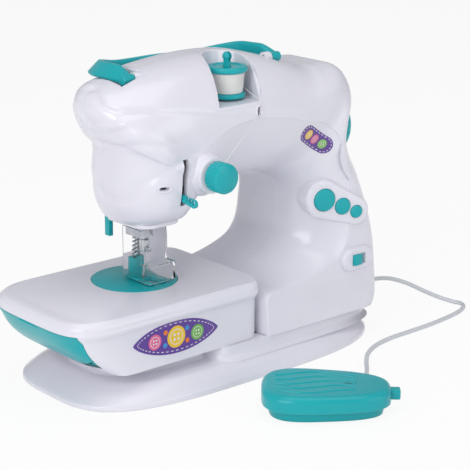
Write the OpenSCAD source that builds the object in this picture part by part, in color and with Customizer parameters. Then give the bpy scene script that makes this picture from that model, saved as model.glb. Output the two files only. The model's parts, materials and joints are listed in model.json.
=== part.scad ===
// Toy sewing machine with a foot pedal on a lead.
// X runs along the machine with the needle end at -X, the operator sits at -Y and Z is up.
// The origin is on the floor under the middle of the base.

/* [Base] */
// Length of the base along X
base_len = 264; // [252:1:280]
// Depth of the base along Y
base_depth = 134; // [128:1:142]
// Height of the upright lip round the foot of the skirt
lip_h = 4; // [3:0.5:5]
// Height of the shoulder on top of the skirt
skirt_h = 13.5; // [12.5:0.5:15]
// Height of the underside of the bed
neck_h = 23; // [21:0.5:25]
// Thickness of the moulded walls
wall = 2.2; // [1.8:0.1:2.6]
// Thickness of the bottom plate
plate_t = 3; // [2.6:0.1:3.4]

/* [Bed] */
// Reach of the bed end to the left of the origin
bed_reach = 147; // [142:1:152]
// Depth of the bed along Y
bed_depth = 112; // [106:1:116]
// Height of the top of the bed
bed_top = 64; // [62:0.5:66]
// Right end of the bed
bed_end = 12; // [8:1:14]
// Distance of the drawer front from each side of the bed
drawer_side = 11; // [10:0.5:16]
// Height of the drawer front
drawer_h = 25; // [22:0.5:26]
// Travel of the open drawer
drawer_travel = 40; // [30:1:42]
// Radius of the needle plate
needle_plate_r = 29.5; // [26:0.5:30]

/* [Column, arm and head] */
// Depth of the arm along Y
arm_depth = 88; // [84:1:92]
// Height of the top of the dome
dome_top = 216.5; // [214:0.5:219]
// Height of the roof of the throat
throat_top = 126; // [124:0.5:127]
// Height of the open bottom of the head
head_bottom = 110; // [109:0.5:111]
// Left face of the head
head_left = -88.5; // [-90:0.5:-87]
// Reach of the brim beyond the head
brim_reach = 15; // [12:0.5:16]
// Widest point of the column
column_right = 133.5; // [132:0.5:135]
// Inner face of the column
column_in = 68; // [66:0.5:69]

/* [Drive] */
// Height of the main shaft
shaft_z = 150; // [149:0.5:151]
// Diameter of the main shaft
shaft_d = 6; // [5:0.5:6]
// Radius of the handwheel
wheel_r = 25; // [22:0.5:26]
// Width of the handwheel
wheel_w = 16; // [14:0.5:18]
// Tooth module of the gears
gear_module = 1; // [0.9:0.05:1]
// Height of the lower shaft
lower_z = 41; // [40:0.5:42]
// Diameter of the lower shaft
lower_d = 5; // [4:0.5:5]
// Radius of the belt pulleys
pulley_r = 11; // [9:0.5:12]

/* [Needle and presser] */
// Place of the needle along X
needle_x = -50; // [-51:0.5:-49]
// Diameter of the needle bar
needle_bar_d = 4; // [3.5:0.25:4.5]
// Stroke of the needle bar
stroke = 22; // [20:1:22]
// Distance of the presser bar behind the needle
presser_back = 7; // [6.5:0.25:7.5]
// Diameter of the presser bar
presser_bar_d = 3; // [2.5:0.25:3]
// Lift of the presser foot
presser_lift = 7; // [5:0.5:7]
// Thickness of the clear guard
guard_t = 1.2; // [1:0.1:1.4]

/* [Thread] */
// Place of the spool along X
spool_x = 4.5; // [3.5:0.5:5.5]
// Place of the spool along Y
spool_y = -22; // [-23:0.5:-21]
// Depth of the spool well below the top of the dome
well_depth = 30.5; // [29.5:0.5:31]
// Diameter of the spool pin
spool_pin_d = 5; // [4.5:0.25:5.5]
// Radius of the spool's top flange
flange_r = 13.8; // [13:0.2:14]
// Loops in the outer layer of thread
thread_loops = 9; // [6:1:9]
// Diameter of the wound thread strand
strand_d = 0.8; // [0.6:0.05:0.85]
// Radius of the tension knob
knob_r = 10.2; // [9.5:0.1:10.5]
// Diameter of the tension post
post_d = 4; // [3.5:0.25:4]

/* [Handle] */
// Width of the handle bar
handle_w = 9; // [8:0.5:10]
// Diameter of the handle pivot pins
pivot_d = 4; // [3.5:0.25:4.5]

/* [Controls] */
// Radius of the large button
button_large_r = 8.2; // [7.6:0.2:8.2]
// Radius of the medium button
button_medium_r = 6; // [5.4:0.2:6]
// Radius of the small button
button_small_r = 4.6; // [4:0.2:4.6]
// Travel of the buttons
button_travel = 2; // [1:0.25:2.5]
// Travel of the slide switch
switch_travel = 5; // [4:0.5:6]

/* [Pedal] */
// Length of the pedal
pedal_len = 84; // [80:1:90]
// Depth of the pedal
pedal_depth = 56; // [52:1:60]
// Height of the pedal
pedal_h = 18; // [17:0.5:20]
// Diameter of the lead
cord_d = 3.2; // [3:0.1:3.6]

/* [Fits] */
// Gap between pieces that only sit together
fit = 0.3; // [0.25:0.05:0.4]
// Radial clearance of a running pin or shaft
run = 0.06; // [0.04:0.01:0.09]

/* [Hidden] */
$fn = 48;

WHITE = [0.90, 0.89, 0.93];
TEAL = [0.10, 0.71, 0.73];
STEEL = [0.72, 0.73, 0.75];
BRASS = [0.78, 0.62, 0.30];
DARK = [0.16, 0.16, 0.17];
CLEAR = [0.85, 0.90, 0.93, 0.4];
LEAD = [0.80, 0.82, 0.84];

// Sides of the rings in the lofts
OVAL_SIDES = 56;
// Steps round each corner of a casing section
CORNER_STEPS = 6;
// Squareness of the base, the bed end and the pedal
BASE_POWER = 3.4;
BED_POWER = 4.4;
PEDAL_POWER = 3;

// Outlines and lofts
function side(v) = v < 0 ? -1 : 1;
function power(c, n) = side(c) * pow(abs(c), 2 / n);
function oval(left, right, half, n, count = OVAL_SIDES) = [for (i = [0:count - 1])
    let (c = power(cos(360 * i / count), n), s = power(sin(360 * i / count), n))
    [c < 0 ? c * left : c * right, half * s]];
function lift(outline, z) = [for (p = outline) [p.x, p.y, z]];
function ring_sides(n, rows) = [for (k = [0:rows - 2], i = [0:n - 1])
    let (a = k * n + i, b = k * n + (i + 1) % n) each [[a, a + n, b + n], [a, b + n, b]]];

module loft(rings) {
    n = len(rings[0]);
    top = (len(rings) - 1) * n;
    foot = [for (i = [0:n - 1]) i];
    head = [for (i = [n - 1:-1:0]) top + i];
    polyhedron([for (r = rings) each r], concat([foot], ring_sides(n, len(rings)), [head]));
}

// A tube of round section along a path, with flat ends
function unit(v) = v / norm(v);
function heading(path, i) = unit(path[min(i + 1, len(path) - 1)] - path[max(i - 1, 0)]);
function tube_ring(path, i, r, sides, coiled) = let (d = heading(path, i),
    up = coiled ? unit([path[i].x, path[i].y, 0]) : [0, 0, 1], u = unit(cross(d, up)), v = cross(u, d))
    [for (s = [0:sides - 1]) path[i] + r * (cos(360 * s / sides) * u + sin(360 * s / sides) * v)];
module tube(path, r, sides, coiled = false) {
    rings = [for (i = [0:len(path) - 1]) tube_ring(path, i, r, sides, coiled)];
    n = sides;
    top = (len(path) - 1) * n;
    foot = [for (i = [n - 1:-1:0]) i];
    head = [for (i = [0:n - 1]) top + i];
    flipped = [for (f = ring_sides(n, len(path))) [f[0], f[2], f[1]]];
    polyhedron([for (r = rings) each r], concat([foot], flipped, [head]));
}
function spline(p, i, t) = let (a = p[max(i - 1, 0)], b = p[i], c = p[min(i + 1, len(p) - 1)],
    d = p[min(i + 2, len(p) - 1)]) 0.5 * (2 * b + (c - a) * t + (2 * a - 5 * b + 4 * c - d) * t * t
    + (3 * b - a - 3 * c + d) * t * t * t);
function smooth(p, steps) = concat([for (i = [0:len(p) - 2], s = [0:steps - 1]) spline(p, i, s / steps)],
    [p[len(p) - 1]]);

// A coil of wire along Z whose ends run straight for one wire diameter d, square to their seats
function coil_turns(r0, r1, z0, z1, turns, rings) = [for (i = [0:turns * rings])
    let (t = i / (turns * rings), r = r0 + (r1 - r0) * t)
    [r * cos(360 * i / rings), r * sin(360 * i / rings), z0 + (z1 - z0) * t]];
function coil_path(r0, r1, z0, z1, turns, rings, d) = concat([[r0, 0, z0]],
    coil_turns(r0, r1, z0 + d, z1 - d, turns, rings), [[r1, 0, z1]]);
// The least gap between strands of a coil one turn apart
function turn_gap(path, rings, d) = min([for (i = [1:len(path) - 2 - rings])
    norm(path[i + rings] - path[i]) - d]);

// Casing of the column, arm and head, as sections from the throat to the outside
half = arm_depth / 2;
roof = throat_top;
brim_x = head_left - brim_reach;
// Each row: throat point, outer point, front extra depth, front bevel at the throat, front crown
// along the section and across it, rear extra depth, rear crown
SECTIONS = [
    [[-30, head_bottom], [head_left + 9, head_bottom], -19, 16, 20, 18, -9, 16],
    [[-28, head_bottom + 3], [head_left + 5, head_bottom + 5], -11, 20, 24, 24, -6, 18],
    [[-25, head_bottom + 8], [head_left + 1, head_bottom + 16], -4, 26, 28, 30, -3, 19],
    [[-21, roof - 4], [head_left, head_bottom + 35], -1, 30, 30, 32, -1, 20],
    [[-15, roof - 1], [head_left + 0.5, head_bottom + 53], 0, 34, 32, 32, 0, 20],
    [[-13, roof - 0.6], [head_left - brim_reach * 0.55, head_bottom + 62], 1, 36, 36, 36, 0, 24],
    [[-11, roof - 0.3], [brim_x, head_bottom + 75], 2, 38, 44, 40, 0, 32],
    [[-9, roof], [brim_x + 1.5, dome_top - 22], 1.5, 40, 48, 42, 0, 38],
    [[-7, roof], [head_left - 1.5, dome_top - 14], 0, 42, 48, 41, 0, 44],
    [[-4, roof], [-66, dome_top - 6.5], 0, 44, 44, 40, 0, 46],
    [[0, roof], [-38, dome_top - 2], 0, 46, 42, 39, 0, 46],
    [[6, roof], [-8, dome_top], 0, 48, 40, 38, 0, 46],
    [[14, roof], [20, dome_top - 1.5], 0, 48, 38, 38, 0, 46],
    [[25, roof], [48, dome_top - 8], 0, 47, 36, 37, -1, 42],
    [[35, roof], [76, dome_top - 18], -1, 46, 30, 33, -2, 30],
    [[43, roof - 0.5], [90, dome_top - 18.5], -2, 46, 28, 30, -2, 24],
    [[51, roof - 1.5], [104, dome_top - 18.5], -3, 46, 28, 28, -2, 22],
    [[57, roof - 3.5], [113, dome_top - 24], -4, 45, 27, 27, -2, 20],
    [[column_in - 6.5, roof - 6], [116, shaft_z + 32], -3, 44, 25, 26, -2, 16],
    [[column_in - 3, roof - 9], [112.5, shaft_z + 17], -2, 42, 24, 26, -2, 13],
    [[column_in - 1, roof - 13], [110.5, shaft_z + 2], -1, 40, 24, 26, -2, 12],
    [[column_in, roof - 18], [112.5, shaft_z - 13], -1, 38, 20, 22, -2, 12],
    [[column_in, 103], [118.5, 120], -0.5, 37, 16, 17, -2, 12],
    [[column_in, 97], [column_right - 9, 102], 0, 36, 14, 14, -1, 12],
    [[column_in - 0.5, 86], [column_right - 4, 86], 1, 35, 14, 14, 0, 12],
    [[column_in - 3, 75], [column_right - 1, 72], 2, 34, 14, 14, 1, 12],
    [[column_in - 10, bed_top + 2], [column_right, 60], 3, 32, 14, 14, 2, 12],
    [[44, bed_top - 5], [column_right, 50], 4, 26, 14, 14, 4, 13],
    [[27, bed_top - 9.5], [column_right, 42], 5, 16, 14, 14, 5, 13],
    [[bed_end + 1.5, bed_top - 13], [column_right - 1, 34], 7, 6, 14, 16, 7, 14],
    [[bed_end + fit, bed_top - 28], [column_right - 3, 28], 10, 4, 16, 18, 10, 16],
    [[bed_end + fit, neck_h], [column_right - 6, neck_h], 12, 4, 18, 20, 12, 18]];

function sec_in(s) = s[0];
function sec_dir(s) = unit(s[1] - s[0]);
function sec_len(s) = norm(s[1] - s[0]);
function sec_point(s, q) = let (p = sec_in(s) + sec_dir(s) * q[0]) [p[0], q[1], p[1]];
function arc(n) = [for (i = [0:n]) 90 * i / n];
// Half a section in distance from the throat and Y, drawn in by t, from the throat to the outside
function half_profile(s, t, bevel_a, bevel_b, crown_a, crown_b, w, seam) = let (l = sec_len(s) - t)
    concat([for (a = arc(CORNER_STEPS)) [t + bevel_a * (1 - cos(a)),
        a == 0 ? seam : -(w - bevel_b) - bevel_b * sin(a)]],
    [for (a = arc(CORNER_STEPS)) [l - crown_a + crown_a * sin(a), -w + crown_b * (1 - cos(a))]],
    [[l, seam]]);
SEAM = -0.1;
// Corner of the rear half at the throat, and the least flat left beside the rear crown
REAR_CORNER = 9;
REAR_FLAT = 4;
function front_profile(s, t) = let (w = half + s[2] - t)
    half_profile(s, t, max(s[3] - t, 1), w, s[4] - t, s[5] - t, w, SEAM);
function rear_profile(s, t) = let (w = half + s[6] - t, c = REAR_CORNER - t, k = s[7] - t)
    [for (q = half_profile(s, t, c, c, k, min(k, w - REAR_FLAT), w, SEAM)) [q[0], -q[1]]];

// One half of the casing as a walled shell
module half_shell(front) {
    outer = [for (s = SECTIONS) [for (q = front ? front_profile(s, 0) : rear_profile(s, 0))
        sec_point(s, q)]];
    inner = [for (s = SECTIONS) [for (q = front ? front_profile(s, wall) : rear_profile(s, wall))
        sec_point(s, q)]];
    n = len(outer[0]);
    m = 2 * n;
    rows = len(SECTIONS);
    points = [for (k = [0:rows - 1]) each concat(outer[k], [for (i = [n - 1:-1:0]) inner[k][i]])];
    strip = [for (i = [0:n - 2]) each [[i, i + 1, m - 2 - i], [i, m - 2 - i, m - 1 - i]]];
    far = [for (f = strip) [for (v = [f[0], f[2], f[1]]) v + (rows - 1) * m]];
    faces = concat(strip, ring_sides(m, rows), far);
    polyhedron(points, front ? [for (f = faces) [f[0], f[2], f[1]]] : faces);
}

// The whole outside of the casing as one closed form
module body_form() {
    rings = [for (s = SECTIONS) let (f = front_profile(s, 0), r = rear_profile(s, 0), n = len(f))
        concat([for (q = r) sec_point(s, q)], [for (i = [n - 1:-1:0]) sec_point(s, f[i])])];
    loft(rings);
}

// Places worked out from the driving sizes
plate_centre = [needle_x - 4, 6];
presser_y = presser_back;
shaft_left = -38;
gear_x = 70;
gear_w = 6;
gear_teeth = 48;
pinion_teeth = 12;
gear_r = gear_module * gear_teeth / 2;
pinion_r = gear_module * pinion_teeth / 2;
BACKLASH = 0.4;
MOTOR_LEAN = 23;
axle_gap = gear_r + pinion_r + BACKLASH;
motor_y = axle_gap * sin(MOTOR_LEAN);
motor_z = shaft_z + axle_gap * cos(MOTOR_LEAN);
motor_len = 25;
motor_r = 10;
pulley_x = 79;
pulley_w = 6;
wheel_x = 108;
bush_r = shaft_d / 2 + 2.5;
bush_w = 8;
bush_x = [-22, 88];
lower_bush_x = [-30, 16, 88];
rear_inner = half - wall;
REAR_STEP = 2;
crank_r = stroke / 2;
crank_disc_r = crank_r + 4;
crank_w = 4;
crank_pin_r = 2.2;
yoke_t = 3.2;
yoke_right = shaft_left - crank_w - fit;
yoke_z = shaft_z - crank_r;

module at_shaft(x, z) { translate([x, 0, z]) rotate([0, 90, 0]) children(); }
module along_y(x, y, z) { translate([x, y, z]) rotate([90, 0, 0]) children(); }

// Base, bottom plate and batteries
function skirt_ring(z, draw, lean, t) = lift(oval(base_len / 2 - draw - t, base_len / 2 - lean - t,
    base_depth / 2 - draw * 0.42 - t, BASE_POWER), z);
function neck_left(t) = oval(base_len / 2 - 30 - t, bed_end - t, bed_depth / 2 - 18 - t, BASE_POWER);
function neck_right(t) = oval(30 - t, base_len / 2 - 6 - t, half + 11 - t, BASE_POWER + 1.6);
SCREW_SPOTS = [[-100, 28], [-100, -28], [-14, 49], [-14, -49], [104, 36], [104, -36]];
SCREW_D = 2.8;
BOSS_R = 4;
HEAD_T = 1.4;
SEAT_T = 1.2;
CELL_R = 7.2;
CELL_LEN = 50.5;
CELL_GAP = 0.6;
cell_pitch = 2 * CELL_R + CELL_GAP;
BOX_WALL = 1.5;
box_x = 24;
box_len = CELL_LEN + 2 * BOX_WALL + 4;
box_half = 2 * cell_pitch + BOX_WALL;
box_top = plate_t + 2 * CELL_R + BOX_WALL + 1;
door_grow = 3;
DOOR_SET = 0.4;
door_top = plate_t - DOOR_SET;

module box_at(x0, x1, y0, y1, z0, z1) { translate([x0, y0, z0]) cube([x1 - x0, y1 - y0, z1 - z0]); }

module base_skirt() {
    color(WHITE) difference() {
        union() {
            difference() {
                loft([skirt_ring(0, 0, 0, 0), skirt_ring(lip_h, 0, 0, 0),
                    skirt_ring((lip_h + skirt_h) / 2, 9, 8, 0), skirt_ring(skirt_h, 24, 10, 0)]);
                loft([skirt_ring(-1, 0, 0, wall), skirt_ring(lip_h, 0, 0, wall),
                    skirt_ring((lip_h + skirt_h) / 2 - wall * 0.6, 9, 8, wall),
                    skirt_ring(skirt_h - wall, 24, 10, wall)]);
            }
            neck_wall(neck_left(0), neck_left(wall));
            neck_wall(neck_right(0), neck_right(wall));
            for (s = SCREW_SPOTS) translate([s.x, s.y, plate_t])
                cylinder(r = BOSS_R, h = skirt_h - wall / 2 - plate_t);
        }
        box_at(box_x, box_x + box_len, -box_half, box_half, plate_t, neck_h + 1);
        for (s = SCREW_SPOTS) translate([s.x, s.y, 0]) cylinder(d = SCREW_D + 0.2, h = skirt_h - wall);
    }
}
module neck_wall(outside, inside) {
    translate([0, 0, skirt_h - wall / 2]) linear_extrude(neck_h - skirt_h + wall / 2) difference() {
        polygon(outside);
        polygon(inside);
    }
}

module base_plate() {
    color(WHITE) difference() {
        linear_extrude(plate_t) polygon(oval(base_len / 2 - wall - fit, base_len / 2 - wall - fit,
            base_depth / 2 - wall - fit, BASE_POWER));
        box_at(box_x - door_grow - fit, box_x + box_len + door_grow + fit, -box_half - door_grow,
            box_half + door_grow, -1, plate_t + 1);
        for (s = SCREW_SPOTS) translate([s.x, s.y, -1]) {
            cylinder(d = SCREW_D + 0.4, h = plate_t + 2);
            cylinder(r = SCREW_D + fit, h = 1 + plate_t - SEAT_T);
        }
    }
}

module battery_door() {
    color(WHITE) difference() {
        box_at(box_x - door_grow, box_x + box_len + door_grow, -box_half - door_grow, box_half + door_grow,
            DOOR_SET, door_top);
        for (i = [-3:3]) box_at(box_x + box_len - 8, box_x + box_len, i * 6 - 1, i * 6 + 1, 0, 1);
    }
}

module battery_box() {
    color(DARK) difference() {
        box_at(box_x, box_x + box_len, -box_half, box_half, door_top + fit, box_top);
        box_at(box_x + BOX_WALL, box_x + box_len - BOX_WALL, -box_half + BOX_WALL, box_half - BOX_WALL,
            0, box_top - BOX_WALL);
    }
}

module batteries() {
    for (i = [0:3]) color(i % 2 == 0 ? BRASS : DARK)
        at_shaft(box_x + BOX_WALL + 2, door_top + CELL_R) translate([0, (i - 1.5) * cell_pitch, 0]) {
            cylinder(r = CELL_R, h = CELL_LEN - 1.5);
            cylinder(r = CELL_R * 0.38, h = CELL_LEN);
        }
}

// Bed with its drawer
function bed_ring(z, draw, t) = let (n = OVAL_SIDES / 2, reach = bed_reach - draw - t, b = bed_depth / 2 - t
    - min(draw, 3) * 1.6, joint = 95, r = 12) lift(concat(
    [for (i = [0:n]) let (a = 90 + 180 * i / n) [-joint + (reach - joint) * power(cos(a), BED_POWER),
        b * power(sin(a), BED_POWER)]],
    [for (i = [0:4]) let (a = -90 + 22.5 * i) [bed_end - t - r + r * cos(a), -b + r + r * sin(a)]],
    [for (i = [0:4]) let (a = 22.5 * i) [bed_end - t - r + r * cos(a), b - r + r * sin(a)]]), z);
bed_mid = (neck_h + bed_top) / 2;
module bed_form(t) {
    loft([bed_ring(neck_h + t, 34, t), bed_ring(neck_h + 4 + t * 0.5, 27, t), bed_ring(neck_h + 11, 16, t),
        bed_ring(bed_mid, 7, t), bed_ring(bed_top - 10, 1.5, t), bed_ring(bed_top - 4, 1, t),
        bed_ring(bed_top - 1.2 - t * 0.7, 3.2, t), bed_ring(bed_top - t, 7, t)]);
}
drawer_w = bed_depth - 2 * drawer_side;
drawer_top = bed_top - 8.5;
drawer_foot = drawer_top - drawer_h;
DRAWER_T = 2.6;
tray_left = -bed_reach + 17;
tray_half = drawer_w / 2 - 3;
drawer_tray = drawer_travel + 8;
TRAY_T = 1.6;
TRAY_UP = 0.6;
NOTCH_W = 22;
module drawer_window(grow, x0, x1) {
    box_at(x0, x1, -drawer_w / 2 - grow, drawer_w / 2 + grow, drawer_foot - grow, drawer_top + grow);
}
hook_x = needle_x + 3;
module bed_shell() {
    color(WHITE) difference() {
        union() {
            difference() {
                bed_form(0);
                bed_form(wall);
            }
            intersection() {
                bed_form(wall / 2);
                for (s = [-1, 1]) translate([0, s * (tray_half - 2), 0])
                    box_at(tray_left, tray_left + drawer_tray,
                    -4, 4, neck_h, drawer_foot + TRAY_UP - 0.1);
            }
        }
        drawer_window(fit, -bed_reach - 1, tray_left + 18);
        translate([plate_centre.x, plate_centre.y, bed_top - 1.6]) cylinder(r = needle_plate_r + fit,
            h = 5);
        translate([plate_centre.x, plate_centre.y, neck_h + wall + 8]) cylinder(r = needle_plate_r - 3,
            h = bed_top);
        at_shaft(bed_end - 6, lower_z) cylinder(r = lower_d / 2 + 2, h = 12);
    }
}

module drawer() {
    tray_right = tray_left + drawer_tray;
    tray_foot = drawer_foot + TRAY_UP;
    color(TEAL) difference() {
        union() {
            intersection() {
                difference() {
                    bed_form(0);
                    bed_form(DRAWER_T);
                }
                drawer_window(0, -bed_reach - 1, tray_left + 1);
            }
            intersection() {
                bed_form(DRAWER_T / 2);
                box_at(-bed_reach, tray_right, -tray_half, tray_half, tray_foot, drawer_top - 4);
            }
        }
        intersection() {
            bed_form(DRAWER_T);
            box_at(-bed_reach, tray_right - TRAY_T, -tray_half + TRAY_T, tray_half - TRAY_T,
                tray_foot + TRAY_T, bed_top);
        }
        along_y(-bed_reach - 2.5, NOTCH_W / 2, drawer_top + 1) cylinder(r = 5, h = NOTCH_W);
    }
}

module needle_plate() {
    color(TEAL) difference() {
        translate([plate_centre.x, plate_centre.y, bed_top - 1.6]) cylinder(r = needle_plate_r, h = 1.9);
        translate([needle_x, 0, bed_top - 3]) cylinder(d = 5, h = 6);
        for (s = [-1, 1]) box_at(needle_x + s * 6 - 1.2, needle_x + s * 6 + 1.2, -8, 12, bed_top - 3,
            bed_top + 3);
    }
}

// Casing halves with their bosses, cuts and screws
BOSS_TURN = -18;
button_face = [112, -47.5];
button_along = [-31.5, -17, -6];
button_z = [105, 99, 94];
button_r = [button_large_r, button_medium_r, button_small_r];
BUTTON_PROUD = 1.6;
BUTTON_RIM = 0.5;
switch_at = [106.5, 59];
switch_face = half + 7;
knob_at = [-31, 144];
collar_r = knob_r + 2;
collar_face = half + 7;
COLLAR_IN = 26;
SLOT_W = 4.4;
eyelet_at = [-65, 139];
guide_at = [14, 179.5];
// Screws through the back: X, Z and the depth of the wall beyond the arm's half depth
CASE_SCREWS = [[-74, 150, -4], [-30, 172, 0], [62, 160, -2], [116, 76, 0.6], [30, 30, 9]];
SCREW_SET = 8;
PILLAR_SET = 14;
well_turn = -18;
well_r = flange_r + 3;
well_floor = dome_top - well_depth;
grommet_at = [-22, 27];
GROMMET_R = 3.2;

module well_shape(r, z0) {
    translate([spool_x, spool_y, z0]) rotate([0, 0, well_turn]) linear_extrude(60) union() {
        circle(r);
        translate([-r, -70]) square([2 * r, 70]);
    }
}
module on_boss() { translate([button_face.x, button_face.y, 0]) rotate([0, 0, BOSS_TURN]) children(); }
module boss_outline(grow) {
    for (i = [0:2]) translate([button_along[i], button_z[i]]) circle(button_r[i] + 6 + grow);
    polygon([for (e = [-1, 1], i = e < 0 ? [0, 2] : [2, 0]) let (r = button_r[i] + 6 + grow)
        [button_along[i] + e * r * 0.36, button_z[i] + e * r * 0.93]]);
}
module switch_outline(grow) {
    for (s = [-1, 1]) translate([switch_at.x + s * 7, switch_at.y]) circle(8.5 + grow);
    translate([switch_at.x - 7, switch_at.y - 8.5 - grow]) square([14, 17 + 2 * grow]);
}
module slab(y0, y1) { translate([0, y1, 0]) rotate([90, 0, 0]) linear_extrude(y1 - y0) children(); }
lug_y = -10;
lug_z = dome_top - 10;
LUG_W = 5;
LUG_R = 4.2;
EYE_R = 3.4;
lug_x = [-66, 48];
arm_x = [lug_x[0] - fit - handle_w / 2, lug_x[1] + LUG_W + fit + handle_w / 2];
// Sunk seat of one handle arm beside its lug, grown sideways by the wall of its tub
SEAT_LEN = 36;
module arm_seat(i, z0, grow) {
    reach = handle_w / 2 + 4;
    box_at(min(arm_x[i] - reach, lug_x[i]) - grow, max(arm_x[i] + reach, lug_x[i] + LUG_W) + grow,
        lug_y - LUG_R - 1.2 - grow, lug_y + SEAT_LEN + grow, z0, dome_top + 10);
}
seat_z = lug_z - EYE_R - 0.8;
BOSS_DEEP = 20;
// Take-up lever: height, thickness, depth and reach
take_z = head_bottom + 18;
TAKE_T = 2;
TAKE_H = 4.6;
take_reach = half + 12;
board_y = 8;
BOARD_T = 1.6;
SWITCH_W = 7.2;

module front_shell() {
    color(WHITE) difference() {
        union() {
            half_shell(true);
            along_y(knob_at.x, -COLLAR_IN, knob_at.y) cylinder(r = collar_r, h = collar_face - COLLAR_IN);
            on_boss() slab(-2, BOSS_DEEP) boss_outline(0);
            slab(-switch_face, -half - 1) switch_outline(0);
            for (c = CASE_SCREWS) along_y(c[0], half + c[2] - PILLAR_SET, c[1])
                cylinder(r = BOSS_R, h = 2 * (half + c[2]) - PILLAR_SET - wall / 2);
        }
        for (c = CASE_SCREWS) along_y(c[0], half + c[2], c[1]) cylinder(d = SCREW_D + 0.1,
            h = PILLAR_SET + 9);
        along_y(knob_at.x, -COLLAR_IN + 6, knob_at.y) cylinder(r = collar_r - wall,
            h = collar_face - wall - COLLAR_IN + 6);
        along_y(knob_at.x, 0, knob_at.y) cylinder(d = post_d + 2 * fit, h = 80);
        on_boss() slab(-2 + wall, board_y + BOARD_T) boss_outline(-wall);
        on_boss() for (i = [0:2]) along_y(button_along[i], 5, button_z[i])
            cylinder(r = button_r[i] + fit, h = 10);
        slab(-switch_face + wall, -half + 6) switch_outline(-wall);
        slab(-switch_face - 1, -half) translate([switch_at.x - SWITCH_W / 2 - switch_travel / 2 - fit,
            switch_at.y - 4])
            square([SWITCH_W + switch_travel + 2 * fit, 8]);
        box_at(needle_x - SLOT_W / 2, needle_x + SLOT_W / 2, -70, -20, take_z - 3,
            take_z + TAKE_H + stroke + 2);
        box_at(eyelet_at.x - 3, eyelet_at.x + 3, -70, -30, eyelet_at.y - 1, eyelet_at.y + 1);
        box_at(guide_at.x - 1.2, guide_at.x + 1.2, -70, -30, guide_at.y - 3, guide_at.y + 3);
        shell_cuts();
        translate([column_right - 20, grommet_at.x, grommet_at.y]) rotate([0, 90, 0])
            cylinder(r = GROMMET_R, h = 40);
    }
}
module shell_cuts() {
    well_shape(well_r + wall, well_floor - wall);
    for (i = [0, 1]) arm_seat(i, seat_z - wall, wall);
    at_shaft(wheel_x - 2, shaft_z) cylinder(r = wheel_r + 2, h = 40);
    at_shaft(bed_end - 5, lower_z) cylinder(r = lower_d / 2 + 2, h = 12);
}

module rear_shell() {
    color(WHITE) difference() {
        union() {
            half_shell(false);
            for (c = CASE_SCREWS) along_y(c[0], half + c[2] - wall / 2, c[1])
                cylinder(r = BOSS_R, h = PILLAR_SET - wall / 2);
        }
        for (c = CASE_SCREWS) along_y(c[0], half + c[2] + 20, c[1]) {
            cylinder(r = SCREW_D + fit, h = 20 + SCREW_SET);
            cylinder(d = SCREW_D + 0.4, h = 40);
        }
        shell_cuts();
    }
}

module casing_screws() {
    color(STEEL) {
        for (c = CASE_SCREWS) along_y(c[0], half + c[2] - SCREW_SET + HEAD_T, c[1]) screw(14);
        for (s = SCREW_SPOTS) translate([s.x, s.y, plate_t - SEAT_T - HEAD_T]) screw(skirt_h - wall - 2);
    }
}
module screw(len) {
    difference() {
        cylinder(r = SCREW_D, h = HEAD_T);
        translate([-SCREW_D, -0.3, -0.1]) cube([2 * SCREW_D, 0.6, 0.8]);
        translate([-0.3, -SCREW_D, -0.1]) cube([0.6, 2 * SCREW_D, 0.8]);
    }
    translate([0, 0, HEAD_T]) cylinder(d = SCREW_D, h = len - HEAD_T);
}

// Head floor, guard and needle frame
FLOOR_T = 2.4;
boss_foot = head_bottom - 14;
guard_x = [needle_x - 10, needle_x + 13];
guard_y = [-9, 11];
guard_front = -17.5;
guard_foot = bed_top + 2.2;
guard_step = bed_top + 15;
guard_head = boss_foot + 6;
clamp_r = 3.5;
tab_at = [needle_x - 13, 22];
TAB_SIZE = [3.4, 5];
module head_floor() {
    s = SECTIONS[0];
    rear = rear_profile(s, 0);
    outline = concat([for (q = front_profile(s, 0)) [sec_point(s, q)[0], q[1]]],
        [for (i = [len(rear) - 1:-1:0]) [sec_point(s, rear[i])[0], rear[i][1]]]);
    color(WHITE) difference() {
        union() {
            translate([0, 0, head_bottom - FLOOR_T]) linear_extrude(FLOOR_T) polygon(outline);
            box_at(guard_x[0] + guard_t, guard_x[1] - guard_t, guard_y[0] + guard_t, guard_y[1],
                boss_foot, head_bottom - FLOOR_T / 2);
        }
        translate([needle_x, 0, boss_foot - 1]) cylinder(r = clamp_r + 1, h = 40);
        translate([needle_x, presser_y, boss_foot - 1]) cylinder(d = presser_bar_d + 2 * run, h = 40);
        box_at(needle_x - 2, needle_x + 2, -8, 0, boss_foot - 1, head_bottom + 10);
        box_at(tab_at.x - TAB_SIZE.x / 2 - 0.8, tab_at.x + TAB_SIZE.x / 2 + 0.8,
            tab_at.y - TAB_SIZE.y / 2 - 0.8,
            tab_at.y + TAB_SIZE.y / 2 + 0.8, head_bottom - 10, head_bottom + 10);
    }
}

module needle_guard() {
    color(CLEAR) difference() {
        union() {
            box_at(guard_x[0], guard_x[1], guard_y[0], guard_y[1], guard_foot, guard_head);
            box_at(guard_x[0], guard_x[1], guard_front, guard_y[0] + 1, guard_foot, guard_step);
        }
        box_at(guard_x[0] + guard_t, guard_x[1] - guard_t, guard_y[0] + guard_t, guard_y[1] + 1,
            guard_foot - 1, guard_head + 1);
        box_at(guard_x[0] + guard_t, guard_x[1] - guard_t, guard_front + guard_t, guard_y[0] + 3,
            guard_foot - 1, guard_step - guard_t);
    }
}

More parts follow.
